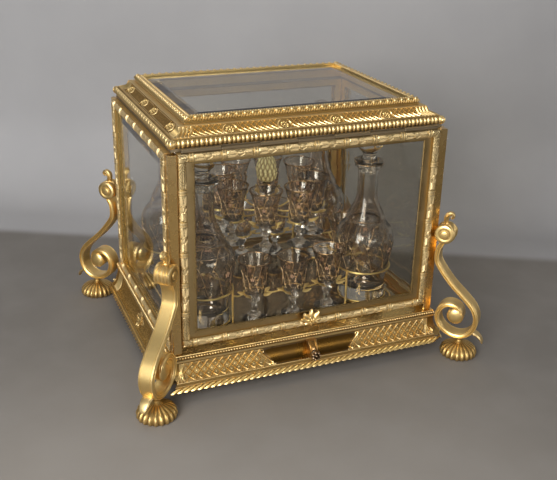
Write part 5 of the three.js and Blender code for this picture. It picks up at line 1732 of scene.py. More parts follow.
def build_legs(sizes):
    outline = ribbon_section()
    edges = [(i, (i + 1) % len(outline)) for i in range(len(outline))]
    mesh = bpy.data.meshes.new("ribbon_section")
    mesh.from_pydata([Vector((w, n, 0)) * MM for w, n in outline], edges, [])
    path = evenly(rounded([(t, 0, z) for t, z in LEG_PATH], 8), 130)
    trim = Shape()
    leg_scroll(trim)
    leg_bud(trim)
    skin(trim, wheel(VOLUTE, VOLUTE_END, 10.0, 40), grime=0.05)
    leg_spur(trim)
    for name, (x, y) in CORNERS.items():
        matrix = leg_matrix(x, y)
        across = matrix.to_3x3() @ Vector((0, 1, 0))
        section = link("section_form", mesh.copy())
        line = lines_object("lines", [([matrix @ p for p in path], across, 1.0, False)])
        inputs = {"Section": section, "Finish": finish("satin gilt")}
        ribbon = grow("leg_ribbon_" + name, line, section_tree, inputs, sharp=38, helpers=[section])
        fit_on(ribbon, "case", "gilt", "leg_" + name)
        dress("leg_scrolls_" + name, Shape().merge(trim, matrix), ("satin gilt",), "case", "gilt")
    bpy.data.meshes.remove(mesh)


def crimped(name, shape, marks, centres, ribs, twist, depth, coat):
    """Runs the rib tree on a turned shape. marks gives each point's (turn, rise, swell)."""
    base = make(name + "_form", shape, [])
    away = []
    for p, c in zip(shape.points, centres):
        flat = Vector((p.x - c.x, p.y - c.y, 0))
        away.append(flat.normalized() if flat.length > 1e-6 else UP)
    store(base.data, "away", "FLOAT_VECTOR", "vector", [c for d in away for c in d])
    for key, label in enumerate(("turn", "rise", "swell")):
        store(base.data, label, "FLOAT", "value", [m[key] for m in marks])
    inputs = {"Ribs": float(ribs), "Twist": float(twist), "Depth": depth * MM, "Finish": finish(coat)}
    return grow(name, base, crimping_tree, inputs, sharp=50)


def build_feet(sizes):
    shape, centres, marks = Shape(), [], []
    turns = sizes.foot_petals * 8
    diagonal = FOOT_OUT / math.sqrt(2)
    for x, y in CORNERS.values():
        centre = Vector((x * (HALF_X + diagonal), y * (HALF_Y + diagonal), 0))
        before = len(shape.points)
        skin(shape, [circle(centre, r, z, turns) for r, z in ((0, FOOT_PROFILE[0][1]), *FOOT_PROFILE)])
        for p in shape.points[before:]:
            flat = p - centre
            reach = Vector((flat.x, flat.y)).length
            miss = [abs(z - p.z) + abs(r - reach) for r, z in FOOT_PROFILE]
            marks.append((math.atan2(flat.y, flat.x), 0.0, FOOT_SWELL[miss.index(min(miss))] if reach > 1 else 0.0))
            centres.append(centre)
    feet = crimped("ribbed_feet", shape, marks, centres, sizes.foot_petals / 2, 0, 1.9, "foot gilt")
    fit_on(feet, "case", "gilt", *["foot_" + name for name in CORNERS])


# ---------------------------------------------------------------- service stand


STAND_X = (TRAY_LOW.x + TRAY_HIGH.x) / 2
TRAY_HALF_X, TRAY_HALF_Y = (TRAY_HIGH.x - TRAY_LOW.x) / 2, (TRAY_HIGH.y - TRAY_LOW.y) / 2
TRAY_CORNER = 31.4
VESSEL_BASE = span("glass_lower_1")[0].z
TRAY_TOP = VESSEL_BASE - 0.3
RING_Z = 96.9
RING_RADIUS = 32.3
FORK_RADIUS = 12.5
FORK_RISE = 29.4
PINEAPPLE_LOW = VESSEL_BASE + 132.0
PINEAPPLE_HEIGHT = 33.0
PINEAPPLE = [
    (1.6, -0.6), (3.6, 0.6), (6.6, 1.6), (9.0, 3.6), (10.3, 6.6), (10.6, 10), (10.5, 13.6), (9.9, 17.4), (9.0, 21),
    (7.7, 24.4), (6.0, 27.4), (4.1, 30.0), (2.0, 32.0), (0, PINEAPPLE_HEIGHT),
]
STEM = [
    (0, TRAY_TOP - 0.2), (6.5, TRAY_TOP), (6.8, TRAY_TOP + 1), (4.2, TRAY_TOP + 2.4), (2.6, TRAY_TOP + 4),
    (2.1, TRAY_TOP + 12), (2.1, 84), (3.6, 86), (4.2, 88), (3.6, 90), (2.2, 92), (2.1, 120), (2.6, 146), (4.4, 150),
    (5.2, 153), (4.4, 156), (2.4, 160), (2.2, 182), (3.4, 185), (5.0, 188.5), (5.4, 190), (3.0, 191.2), (3.4, 193),
    (0, 193),
]


def centre_of(node):
    low, high = span(node)
    return Vector(((low.x + high.x) / 2, (low.y + high.y) / 2, low.z))


def ring_points(centre, radius, start=0.0, sweep=360.0, steps=48):
    """Points of a level ring, or of the part of it that sweep gives."""
    count = steps if sweep >= 360 else steps + 1
    turns = [math.radians(start + sweep * i / steps) for i in range(count)]
    return [Vector(centre) + Vector((radius * math.cos(a), radius * math.sin(a), 0)) for a in turns]


def tray_line(inset, z):
    """The tray's rounded outline at a height, drawn in by an inset."""
    outline = []
    for x, y, start in ((1, 1, 0), (-1, 1, 90), (-1, -1, 180), (1, -1, 270)):
        middle = (x * (TRAY_HALF_X - TRAY_CORNER), y * (TRAY_HALF_Y - TRAY_CORNER))
        outline += arc(middle, (TRAY_CORNER, TRAY_CORNER), start, start + 90, 14)
    in_x, in_y = 1 - inset / TRAY_HALF_X, 1 - inset / TRAY_HALF_Y
    return [Vector((STAND_X + x * in_x, y * in_y, z)) for x, y in outline]


def stand_tray():
    """Tray on its feet, with the turned stem in its middle and beads round its edge."""
    steps = ((3.2, -2.5), (0.9, -2.5), (0.3, -2.0), (0.3, -0.4), (1.0, 0.2), (1.9, 0), (4.2, 0))
    rows = [tray_line(inset, TRAY_TOP + z) for inset, z in steps]
    shape = skin(Shape(), rows, grime=lambda i, j: 0.6 if i in (0, 5) else 0.0)
    low = TRAY_LOW.z
    foot = [
        (0, low), (3.6, low), (4.4, low + 0.8), (4.5, low + 1.8), (3.6, low + 2.6), (3.9, TRAY_TOP - 2.4),
        (0, TRAY_TOP - 2.3),
    ]
    for name in CORNERS:
        middle = centre_of("decanter_" + name)
        lathe(shape, foot, 20, (middle.x, middle.y, 0), grime=0.3)
    lathe(shape, STEM, 24, (STAND_X, 0, 0), grime=lambda i, j: 0.5 if i in (6, 9, 10, 16, 21) else 0.05)
    dress("stand_tray", shape, ("tray polish",), "stand", "polished_gilt", "service_stand")
    edge = [(tray_line(1.4, TRAY_TOP + 0.3), UP)]
    strung("stand_tray_beads", "stand", edge, bead(1.3, 0.9), 3.4, "chased gilt", "polished_gilt", closed=True)


def sagging(a, b, inset_a, inset_b):
    """A wire between two rings, from rim to rim, that hangs a little."""
    step = Vector((b.x - a.x, b.y - a.y, 0)).normalized()
    start, stop = a + step * inset_a, b - step * inset_b
    middle = (start + stop) / 2 + Vector((0, 0, -1.8))
    return evenly(rounded([start, middle, stop], 6), 8), UP, 0.95, False


def decanter_wires(name):
    """Ring, foot ring and upright of one decanter, and the wires that tie its ring to the glasses' forks."""
    x, y = CORNERS[name]
    c = centre_of("decanter_" + name)
    turn = math.radians(207)
    post = Vector((c.x + x * RING_RADIUS * math.cos(turn), c.y - y * RING_RADIUS * math.sin(turn), 0))
    z = VESSEL_BASE + FORK_RISE
    next_glass, middle = Vector((STAND_X + x * 46.0, y * 82.0, z)), Vector((STAND_X, y * 88.0, z))
    side_glass = Vector((STAND_X + x * 105.0, 0, z))
    return [
        (ring_points((c.x, c.y, RING_Z), RING_RADIUS, steps=64), UP, 1.15, True),
        (ring_points((c.x, c.y, TRAY_TOP + 0.9), 28.6, steps=56), UP, 0.8, True),
        ([post + UP * (TRAY_TOP - 0.3), post + UP * (RING_Z + 1)], UP, 1.35, False),
        sagging(post + UP * z, next_glass, 0, FORK_RADIUS),
        sagging(next_glass, middle, FORK_RADIUS, FORK_RADIUS),
        sagging(side_glass, Vector((c.x, c.y, RING_Z)), FORK_RADIUS, RING_RADIUS),
    ]


def glass_fork(leaves, name):
    """Wires of the open fork that holds one glass; its leaves go into the shape of all leaves."""
    c = centre_of(name)
    lower = "lower" in name
    out = Vector((c.x - STAND_X, c.y, 0))
    if lower:
        out = Vector((out.x, 0, 0)) if abs(out.y) < 1 else Vector((0, out.y, 0))
    out = out.normalized()
    start = math.degrees(math.atan2(out.y, out.x)) + 45
    middle = Vector((c.x, c.y, c.z + FORK_RISE))
    wires = [(ring_points(middle, FORK_RADIUS, start, 270, 36), UP, 1.15, False)]
    for turn, length in ((0, 10.5), (270, 10.5), (135, 8.0), (50, 8.5), (220, 8.5)):
        a = math.radians(start + turn)
        run, tangent = Vector((math.cos(a), math.sin(a), 0)), Vector((-math.sin(a), math.cos(a), 0))
        place = lambda p, d, lift: middle + tangent * p + run * (FORK_RADIUS + d) + UP * (0.4 + 0.05 * d * d + lift)
        ridge(leaves, place, straight(0, -0.8, 0, length - 0.8, 6), swelling(5.6), swelling(2.4), grime=0.4, under=0.9)
    if not lower:
        inner, touch = Vector((STAND_X, 0, middle.z)), middle - out * FORK_RADIUS
        sag = (inner + touch) / 2 + Vector((0, 0, -4))
        wires.append((evenly(rounded([inner, sag, touch], 8), 12), UP, 1.0, False))
    return wires


def stand_pineapple():
    """Pineapple finial: a net of bosses on a turned cone."""
    fine = evenly(rounded([Vector((r, z, 0)) for r, z in PINEAPPLE], 4), 44)
    centre = Vector((STAND_X, 0, 0))
    profile = [(0, -0.6), *[(p.x, p.y) for p in fine]]
    cone = skin(Shape(), [circle(centre, r, PINEAPPLE_LOW + z, 96) for r, z in profile])
    marks = []
    for p in cone.points:
        rise = (p.z - PINEAPPLE_LOW) / PINEAPPLE_HEIGHT
        swell = math.sin(math.pi * min(1.0, max(0.0, 0.06 + 0.9 * rise)))
        marks.append((math.atan2(p.y, p.x - STAND_X), rise, max(0.0, swell) ** 0.5))
    finial = crimped("stand_pineapple", cone, marks, [centre] * len(cone.points), 6, 9, 2.3, "pineapple gilt")
    fit_on(finial, "stand", "polished_gilt")


def build_stand(sizes):
    stand_tray()
    wires, leaves = [], Shape()
    for name in CORNERS:
        wires += decanter_wires(name)
    for name in sorted(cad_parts):
        if name.startswith("glass_"):
            wires += glass_fork(leaves, name)
    dress("stand_leaves", leaves, ("wire gilt",), "stand", "polished_gilt")
    inputs = {"Round": 12, "Thickness": 1.0 * MM, "Finish": finish("wire gilt")}
    fit_on(grow("stand_wires", lines_object("lines", wires), wire_tree, inputs), "stand", "polished_gilt")
    stand_pineapple()


# ---------------------------------------------------------------- glassware


DECANTER_HEIGHT = 167.7
DECANTER_OUTSIDE = [
    (0, 0.4), (22, 0.4), (26.2, 0), (27.4, 1.4), (27.5, 10), (27.5, 22), (29.2, 30.0), (32.0, 50), (34.6, 62),
    (35.4, 68.8), (34.9, 76), (33.2, 83), (28.6, 90.4), (23.4, 95.0), (22.4, 97.4), (22.7, 100.6), (20.6, 105.6),
    (16.2, 114), (13.2, 121), (12.1, 129), (12.0, 140), (12.1, 150), (12.4, 158), (14.2, 161.4), (16.9, 163.4),
    (17.0, 166.2), (16.2, 167.4), (12.0, DECANTER_HEIGHT),
]
DECANTER_INSIDE = [
    (9.4, 167.5), (8.7, 166), (8.6, 150), (8.6, 130), (9.6, 122), (12.6, 114), (17.4, 104), (19.0, 99), (20.2, 95),
    (26.0, 88.6), (30.6, 80), (31.8, 70), (30.8, 60), (26.6, 42), (24.8, 30), (24.4, 18), (23.0, 14.2), (12, 12.8),
    (0, 12.6),
]
STOPPER_HEIGHT = 37.0
STOPPER = [
    (0, -14), (6.4, -14), (6.6, -13.4), (7.7, 0.1), (9.8, 0.4), (10.2, 1.2), (9.4, 2.2), (8.0, 4.4), (7.6, 7.0),
    (9.2, 10.2), (13.4, 14.4), (15.0, 20), (14.4, 25.6), (12.2, 30.2), (8.6, 34.0), (4.4, 36.4), (0, STOPPER_HEIGHT),
]
GLASS_HEIGHT = 72.0
GLASS_OUTSIDE = [
    (0, 0.8), (10, 0.4), (14.3, 0), (14.5, 0.6), (13.8, 1.5), (9.0, 4.0), (4.9, 7.6), (3.1, 12), (3.6, 15.4),
    (5.6, 18.2), (6.0, 20.4), (5.0, 23.0), (3.5, 25.0), (5.2, 27.0), (9.8, 30.6), (12.2, 34.6), (13.0, 40), (13.4, 48),
    (14.6, 56), (16.8, 64), (18.9, 70.6), (19.4, 71.8),
]
GLASS_INSIDE = [
    (19.0, GLASS_HEIGHT), (18.5, 71.4), (16.0, 64), (13.8, 56), (12.5, 48), (12.1, 40), (11.2, 35.6), (8.4, 32.2),
    (4.0, 30.6), (0, 30.3),
]
FLOWERED = ("rim gilt", "flower gilt", "flower enamel")


def turned_glass(centre, outside, inside, turns, height, etched_from, etched_to, flutes=0):
    """Hollow glass turned about its axis. Its outside carries the etched finish between two heights."""
    profile = outside + inside
    rows = []
    for i, (r, z) in enumerate(profile):
        cut = flutes if i < len(outside) and 8 < z < 29 else 0.0
        row = []
        for a in (TAU * j / turns for j in range(turns)):
            reach = r * (1 + cut * math.cos(6 * a))
            row.append(centre + Vector((reach * math.cos(a), reach * math.sin(a), z)))
        rows.append(row)
    heights = [z / height for _, z in profile]
    last = len(outside) - 1
    etched = lambda i: 1 if i < last and etched_from <= profile[i][1] < etched_to else 0
    return skin(Shape(), rows, ends=False, v=heights + [0.0], slot=etched)


def fine_profile(points):
    """A turned profile with a point more between every two."""
    line = rounded([Vector((r, z, 0)) for r, z in points], 2)
    return [(max(0.0, p.x), p.y) for p in line]


def rim_thread(shape, centre, radius, z, wire, turns=48):
    """A fine gilt thread round a lip."""
    rows = []
    for a in (TAU * j / turns for j in range(turns)):
        row = []
        for b in (TAU * k / 6 for k in range(6)):
            reach = radius + wire * math.cos(b)
            row.append(centre + Vector((reach * math.cos(a), reach * math.sin(a), z + wire * math.sin(b))))
        rows.append(row)
    return skin(shape, rows, along=True, slot=2)


def flowered(shape, centre, profile, low, high, repeats, petal, thread, turned=0.0):
    """Gilt stems, leaves and small flowers round a glass, as fine raised lines."""
    def reach(z):
        for (r0, z0), (r1, z1) in zip(profile, profile[1:]):
            if z0 <= z <= z1 and z1 > z0 and r0 > 8:
                return r0 + (r1 - r0) * (z - z0) / (z1 - z0)
        return profile[-1][0]

    middle, tall = (low + high) / 2, high - low
    radius = reach(middle)
    pitch = TAU * radius / repeats

    def place(x, d, lift):
        r, a = reach(d) + lift, x / radius + turned
        return centre + Vector((r * math.cos(a), r * math.sin(a), d))

    def draw(line, width, rise, slot):
        ridge(shape, place, line, width, rise, grime=0.2, steps=2, under=0.1, slot=slot)

    for k in range(repeats):
        head = middle + tall * (0.16 if k % 2 else -0.12)
        for a in (TAU * (p + 0.25) / 5 for p in range(5)):
            line = [(k * pitch + petal * s * math.cos(a), head + petal * s * math.sin(a)) for s in (0.25, 0.55, 0.8, 1.0)]
            draw(line, swelling(0.62 * petal), 0.3, 4 if k % 2 else 3)
        for hand in (-1, 1):
            def stem(s):
                wave = 0.44 * hand * math.cos(math.pi * s) - 0.1 * s
                return k * pitch + hand * pitch * 0.5 * s, middle + tall * wave

            draw([stem(s) for s in shares(8)], thread, 0.25, 3)
            for s, way in ((0.25, 1), (0.5, -1), (0.75, 1)):
                x, z = stem(s)
                reaches = (0, 0.35, 0.7, 1.0)
                line = [(x + hand * way * petal * 0.9 * t, z + way * petal * (1.1 * t - 0.5 * t * t)) for t in reaches]
                draw(line, swelling(0.5 * petal), 0.3, 3)


def build_decanters(sizes):
    outside, inside = fine_profile(DECANTER_OUTSIDE), fine_profile(DECANTER_INSIDE)
    for name in CORNERS:
        node = "decanter_" + name
        c = centre_of(node)
        shape = turned_glass(c, outside, inside, 56, DECANTER_HEIGHT, 22, 132)
        rim_thread(shape, c, 16.9, 166.4, 0.45)
        rim_thread(shape, c, 22.6, 98.6, 0.4)
        flowered(shape, c, outside, 34.0, 80.0, 6, 3.8, 0.6)
        finishes = ("clear crystal", "etched decanter", *FLOWERED)
        dress(node + "_crystal", shape, finishes, node, "crystal", node, sharp=60)

        node = "stopper_" + name
        c = Vector((c.x, c.y, span(node)[1].z - STOPPER_HEIGHT))
        rows = []
        for r, z in fine_profile(STOPPER):
            facets = 0.02 if z > 8 else 0.0
            row = []
            for a in (TAU * j / 48 for j in range(48)):
                reach = r * (1 + facets * math.cos(8 * a))
                row.append(c + Vector((reach * math.cos(a), reach * math.sin(a), z)))
            rows.append(row)
        plug = skin(Shape(), rows)
        rim_thread(plug, c, 10.1, 1.3, 0.3)
        finishes = ("clear crystal", "clear crystal", "rim gilt")
        dress(node + "_crystal", plug, finishes, node, "crystal", node, sharp=60)


def build_glasses(sizes):
    outside, inside = fine_profile(GLASS_OUTSIDE), fine_profile(GLASS_INSIDE)
    for node in sorted(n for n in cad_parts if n.startswith("glass_")):
        c = centre_of(node)
        shape = turned_glass(c, outside, inside, 48, GLASS_HEIGHT, 27, 70, flutes=0.09)
        rim_thread(shape, c, 19.1, 71.5, 0.62, 40)
        flowered(shape, c, outside, 35.5, 60.0, 5, 2.5, 0.5, 0.4)
        dress(node + "_crystal", shape, ("clear crystal", "etched glass", *FLOWERED), "stand", "crystal", node, sharp=60)


# ---------------------------------------------------------------- floor, backdrop, lamps and camera


AZIMUTH, ELEVATION, ROLL = (math.radians(a) for a in (-22.763385, 23.027327, 1.283822))
FOCAL_SHARE = 853.5886 / 557
AIM = Vector((0.2942275, 0.6690112, -0.1968248))
DISTANCE = 1.853614
SENSOR = 36.0
# name, place, point it looks at, size, power and colour
LAMPS = (
    ("window_lamp", (-1.2, -1.6, 0.95), (0, 0, 0.15), (0.5, 0.75), 16.0, (1.0, 0.975, 0.94)),
    ("tall_window_lamp", (-1.9, -1.5, 0.9), (0, 0, 0.15), (0.62, 1.9), 42.0, (0.94, 0.965, 1.0)),
    ("front_lamp", (0.35, -2.3, 0.42), (0, 0, 0.1), (1.3, 0.5), 7.5, (1, 1, 1)),
    ("overhead_lamp", (-0.2, 0.0, 1.9), (0, 0, 0.1), (1.3, 1.0), 7.0, (1, 1, 1)),
    ("right_lamp", (1.5, -0.9, 0.7), (0, 0, 0.15), (0.25, 0.9), 2.5, (1.0, 0.97, 0.92)),
)
# the paper sweep stands square to the view, a little behind the cabinet
BACK_WAY = Vector((0.459, 0.888, 0)).normalized()
LEVEL_WAY = Vector((BACK_WAY.y, -BACK_WAY.x, 0))
SWEEP_HALF = 5000.0
SWEEP_NEAR = -4000.0
SWEEP_BEND = 140.0


def stage_camera():
    """Camera that sees the cabinet as the photograph does."""
    back = Vector((math.sin(AZIMUTH) * math.cos(ELEVATION), -math.cos(AZIMUTH) * math.cos(ELEVATION), math.sin(ELEVATION)))
    across = UP.cross(back).normalized()
    rise = back.cross(across)
    right = across * math.cos(ROLL) + rise * math.sin(ROLL)
    up = rise * math.cos(ROLL) - across * math.sin(ROLL)
    lens = bpy.data.cameras.new("photograph_view")
    lens.sensor_fit, lens.sensor_width = "HORIZONTAL", SENSOR
    lens.lens = SENSOR * FOCAL_SHARE
    lens.clip_start, lens.clip_end = 0.01, 60.0
    camera = bpy.data.objects.new("photograph_view", lens)
    matrix = Matrix((right, up, back)).transposed().to_4x4()
    matrix.translation = AIM + back * DISTANCE
    camera.matrix_world = matrix
    bpy.context.scene.collection.objects.link(camera)
    bpy.context.scene.camera = camera
    bpy.context.scene.view_settings.view_transform = "Standard"


def paper(colours):
    """Grey paper with painted shade, darker close to the front and on the wall towards the right, that is seen from its
    front only.
    """
    material, w, surface, output = bare_material("studio paper", tuple(colours.floor))
    shade = lambda colour, share: (*(c * share for c in colour), 1)
    place = w.node("ShaderNodeTexCoord").outputs["Object"]
    dot = lambda way: w.node("ShaderNodeVectorMath", {0: place, 1: tuple(way)}, operation="DOT_PRODUCT").outputs["Value"]
    depth, across = dot(BACK_WAY), dot(LEVEL_WAY)
    cloud = w.node("ShaderNodeTexNoise", {"Vector": place, "Scale": 2.6, "Detail": 3.0}).outputs[0]
    mottle = w.node("ShaderNodeTexNoise", {"Vector": place, "Scale": 14.0, "Detail": 4.0}).outputs[0]
    aside = w.remap(w.math("ABSOLUTE", across), 0.55, 0.15, smooth=True)
    # painted shade: the floor darkens towards the front near the middle
    front = w.times(w.remap(depth, 0.0, -0.4, smooth=True), aside)
    tone = w.blend(front, shade(colours.floor, 0.54), shade(colours.floor, 1))
    # painted shade: the wall darkens towards the right
    wall = w.blend(w.remap(across, 0.05, 0.5, smooth=True), shade(colours.backdrop, 1), shade(colours.backdrop, 0.78))
    tone = w.blend(w.remap(depth, 0.232, 0.262, smooth=True), tone, wall)
    tone = w.blend(w.remap(cloud, 0.35, 0.7, 0.0, 0.14), tone, (0.2, 0.195, 0.19, 1))
    tone = w.blend(w.remap(mottle, 0.4, 0.75, 0.0, 0.06), tone, (0.6, 0.58, 0.56, 1))
    w.feed(surface.inputs["Base Color"], tone)
    surface.inputs["Roughness"].default_value = 0.7
    surface.inputs["Specular IOR Level"].default_value = 0.3
    away = w.node("ShaderNodeNewGeometry").outputs["Backfacing"]
    clear = w.node("ShaderNodeBsdfTransparent").outputs[0]
    one_sided = w.node("ShaderNodeMixShader", {0: away, 1: surface.outputs[0], 2: clear}).outputs[0]
    w.feed(output.inputs["Surface"], one_sided)
    return material


def stage_floor(sizes, colours):
    """Paper sweep: a floor that bends up into a wall."""
    far, bend = sizes.floor_depth * 1000, SWEEP_BEND
    profile = [(y, 0.0) for y, _ in straight(SWEEP_NEAR, 0, far, 0, 8)]
    profile += [(far + bend * math.sin(math.radians(a)), bend - bend * math.cos(math.radians(a))) for a in range(10, 91, 10)]
    profile += [(far + bend, bend + 500.0 * k) for k in range(1, 8)]
    across = [SWEEP_HALF * s for s in (-1, -0.5, 0, 0.5, 1)]
    rows = [[LEVEL_WAY * x + BACK_WAY * y + UP * z for x in across] for y, z in profile]
    floor = make("studio_floor", skin(Shape(), rows, around=False), [])
    if floor.data.polygons[0].normal.z < 0:
        floor.data.flip_normals()
    floor.data.materials.append(paper(colours))


def stage_lamps(power):
    for name, place, aim, size, watts, colour in LAMPS:
        light = bpy.data.lights.new(name, "AREA")
        light.shape, light.size, light.size_y = "RECTANGLE", size[0], size[1]
        light.energy, light.color = watts * power, colour
        made = bpy.data.objects.new(name, light)
        made.location = place
        made.rotation_euler = (Vector(aim) - Vector(place)).to_track_quat("-Z", "Y").to_euler()
        bpy.context.scene.collection.objects.link(made)


def stage_air():
    """Dim studio air: darker below and in broad bands, for the gilding and glass to mirror."""
    world = bpy.data.worlds.new("studio air")
    world.use_nodes = True
    world.node_tree.nodes.clear()
    w = Wiring(world.node_tree)
    way = w.node("ShaderNodeTexCoord").outputs["Generated"]
    high = w.remap(w.node("ShaderNodeSeparateXYZ", {0: way}).outputs[2], -0.2, 0.9, smooth=True)
    tone = w.blend(high, (0.06, 0.058, 0.055, 1), (0.3, 0.3, 0.31, 1))
    bands = w.node("ShaderNodeTexNoise", {"Vector": way, "Scale": 1.9, "Detail": 1.0}).outputs[0]
    dark = w.blend(0.75, tone, (0.03, 0.028, 0.025, 1))
    tone = w.blend(w.remap(bands, 0.46, 0.58, smooth=True), dark, tone)
    air = w.node("ShaderNodeBackground", {"Color": tone, "Strength": 1.0})
    w.node("ShaderNodeOutputWorld", {"Surface": air.outputs[0]})
    bpy.context.scene.world = world


def build_stage(sizes, colours):
    stage_camera()
    stage_floor(sizes, colours)
    stage_lamps(sizes.lamp_power)
    stage_air()


# ---------------------------------------------------------------- panel, operators and settings


def length(name, description, default, low, high):
    """A length of the ornament in millimetres."""
    return bpy.props.FloatProperty(
        name=name, description=description + ", mm", default=default, min=low, max=high
    )


def colour(name, description, default):
    """A colour of a finish or of the stage."""
    return bpy.props.FloatVectorProperty(
        name=name, description=description, default=default, size=3, min=0, max=1, subtype="COLOR"
    )


class CabinetSizes(bpy.types.PropertyGroup):
    """Sizes of the ornament, in millimetres where a length is meant."""

    bead_radius: length("Bead radius", "Radius of the beads on the base plate's edge", 1.4, 0.5, 3)
    bead_pitch: length("Bead pitch", "Distance between the base plate's beads", 3.1, 1.5, 8)
    leaf_pitch: length("Leaf pitch", "Distance between the leaf tips of the bottom band", 7.6, 4, 20)
    base_lattice: length("Base lattice", "Width of one diamond of the base's front panels", 8.6, 5, 20)
    segment: length("Engraved segment", "Length of one engraved segment of the frames' mouldings", 34.0, 10, 80)
    gadroon: length("Gadroon pitch", "Distance between pairs of lobes on the lid's rim", 9.6, 4, 20)
    frieze_lattice: length("Frieze lattice", "Width of one diamond of the lid's lattice panels", 6.1, 3, 15)
    top_bead_pitch: length("Top bead pitch", "Distance between the beads on the lid's top frame", 8.6, 3, 12)
    foot_petals: bpy.props.IntProperty(
        name="Foot petals", description="Number of ribs round each foot", default=20, min=8, max=36
    )
    spring_wire: length("Spring wire", "Radius of the wire of the catch's spring", 0.42, 0.2, 0.6)
    post_chamfer: length("Post chamfer", "Width taken off each edge of the corner posts", 0.7, 0.1, 2)
    floor_depth: bpy.props.FloatProperty(
        name="Floor depth", description="Distance from the cabinet's middle to the backdrop", default=0.32,
        min=0.28, max=5, unit="LENGTH",
    )
    lamp_power: bpy.props.FloatProperty(
        name="Lamp power", description="Power of all lamps against their usual power", default=1.0, min=0, max=5,
        subtype="FACTOR",
    )


class CabinetColours(bpy.types.PropertyGroup):
    """Colours of the finishes and of the stage."""

    gold: colour("Gilding", "Clean gilding", (0.93, 0.645, 0.22))
    tarnish: colour("Tarnish", "Gilding under tarnish", (0.42, 0.26, 0.09))
    bronze: colour("Bronze", "Dark bronze of the catch", (0.23, 0.13, 0.06))
    pane: colour("Panes", "Tint of the bevelled panes", (0.78, 0.765, 0.71))
    crystal: colour("Crystal", "Tint of the decanters and glasses", (0.96, 0.94, 0.91))
    floor: colour("Floor", "Floor under the cabinet", (0.33, 0.3, 0.265))
    backdrop: colour("Backdrop", "Wall behind the cabinet", (0.39, 0.38, 0.378))


class CABINET_OT_posts(bpy.types.Operator):
    """Softened corner posts of the case"""

    bl_idname = "cabinet.posts"
    bl_label = "Corner posts"

    def execute(self, context):
        build_posts(context.scene.cabinet_sizes)
        return {"FINISHED"}


class CABINET_OT_base(bpy.types.Operator):
    """Base moulding with its leaf band, lattice panels, beads and cartouches"""

    bl_idname = "cabinet.base"
    bl_label = "Base"

    def execute(self, context):
        build_base(context.scene.cabinet_sizes)
        return {"FINISHED"}


class CABINET_OT_catch(bpy.types.Operator):
    """Bracket and rosette button of the catch"""

    bl_idname = "cabinet.catch"
    bl_label = "Catch"

    def execute(self, context):
        build_catch(context.scene.cabinet_sizes)
        return {"FINISHED"}


class CABINET_OT_screens(bpy.types.Operator):
    """Engraved frames of the sides and back, and their panes"""

    bl_idname = "cabinet.screens"
    bl_label = "Side and back frames"

    def execute(self, context):
        build_screens(context.scene.cabinet_sizes)
        return {"FINISHED"}


class CABINET_OT_flap(bpy.types.Operator):
    """Front flap: engraved frame, plain slip, leaf pull and hinge barrels"""

    bl_idname = "cabinet.flap"
    bl_label = "Front flap"

    def execute(self, context):
        build_flap(context.scene.cabinet_sizes)
        return {"FINISHED"}


class CABINET_OT_lid(bpy.types.Operator):
    """Lid: gadrooned rim, frieze with lattice and rosettes, beaded top frame"""

    bl_idname = "cabinet.lid"
    bl_label = "Lid"

    def execute(self, context):
        build_lid(context.scene.cabinet_sizes)
        return {"FINISHED"}


class CABINET_OT_legs(bpy.types.Operator):
    """Scroll legs with their carved scrolls, buds, eyes and spurs"""

    bl_idname = "cabinet.legs"
    bl_label = "Legs"

    def execute(self, context):
        build_legs(context.scene.cabinet_sizes)
        return {"FINISHED"}


class CABINET_OT_feet(bpy.types.Operator):
    """Ribbed flower feet"""

    bl_idname = "cabinet.feet"
    bl_label = "Feet"

    def execute(self, context):
        build_feet(context.scene.cabinet_sizes)
        return {"FINISHED"}


class CABINET_OT_stand(bpy.types.Operator):
    """Service stand: tray, wires, leaves, stem and pineapple"""

    bl_idname = "cabinet.stand"
    bl_label = "Service stand"

    def execute(self, context):
        build_stand(context.scene.cabinet_sizes)
        return {"FINISHED"}


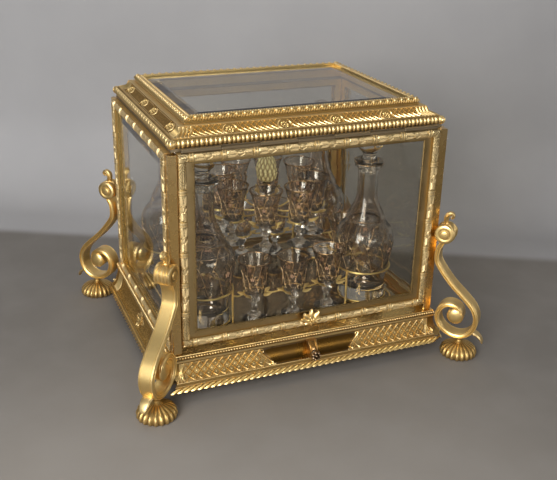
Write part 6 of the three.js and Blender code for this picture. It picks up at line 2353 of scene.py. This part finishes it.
class CABINET_OT_decanters(bpy.types.Operator):
    """Etched decanters and their stoppers"""

    bl_idname = "cabinet.decanters"
    bl_label = "Decanters and stoppers"

    def execute(self, context):
        build_decanters(context.scene.cabinet_sizes)
        return {"FINISHED"}


class CABINET_OT_glasses(bpy.types.Operator):
    """Etched glasses on the stand"""

    bl_idname = "cabinet.glasses"
    bl_label = "Glasses"

    def execute(self, context):
        build_glasses(context.scene.cabinet_sizes)
        return {"FINISHED"}


class CABINET_OT_stage(bpy.types.Operator):
    """Floor, backdrop, lamps and camera"""

    bl_idname = "cabinet.stage"
    bl_label = "Stage"

    def execute(self, context):
        build_stage(context.scene.cabinet_sizes, context.scene.cabinet_colours)
        return {"FINISHED"}


OPERATORS = (
    CABINET_OT_posts, CABINET_OT_base, CABINET_OT_catch, CABINET_OT_screens, CABINET_OT_flap, CABINET_OT_lid,
    CABINET_OT_legs, CABINET_OT_feet, CABINET_OT_stand, CABINET_OT_decanters, CABINET_OT_glasses, CABINET_OT_stage,
)


class CABINET_PT_panel(bpy.types.Panel):
    """Lists the cabinet's sizes, colours and steps"""

    bl_idname = "CABINET_PT_panel"
    bl_label = "Liqueur cabinet"
    bl_space_type = "VIEW_3D"
    bl_region_type = "UI"
    bl_category = "Cabinet"

    def draw(self, context):
        column = self.layout.column()
        for group in (context.scene.cabinet_sizes, context.scene.cabinet_colours):
            for key in group.__annotations__:
                column.prop(group, key)
            column.separator()
        for operator in OPERATORS:
            column.operator(operator.bl_idname)


CLASSES = (CabinetSizes, CabinetColours, *OPERATORS, CABINET_PT_panel)


def register():
    for each in CLASSES:
        bpy.utils.register_class(each)
    bpy.types.Scene.cabinet_sizes = bpy.props.PointerProperty(type=CabinetSizes)
    bpy.types.Scene.cabinet_colours = bpy.props.PointerProperty(type=CabinetColours)


def unregister():
    del bpy.types.Scene.cabinet_colours
    del bpy.types.Scene.cabinet_sizes
    for each in reversed(CLASSES):
        bpy.utils.unregister_class(each)


def main():
    register()
    for operator in OPERATORS:
        group, step = operator.bl_idname.split(".")
        if getattr(getattr(bpy.ops, group), step)() != {"FINISHED"}:
            raise RuntimeError(operator.bl_idname + " didn't finish")


if __name__ == "__main__":
    main()
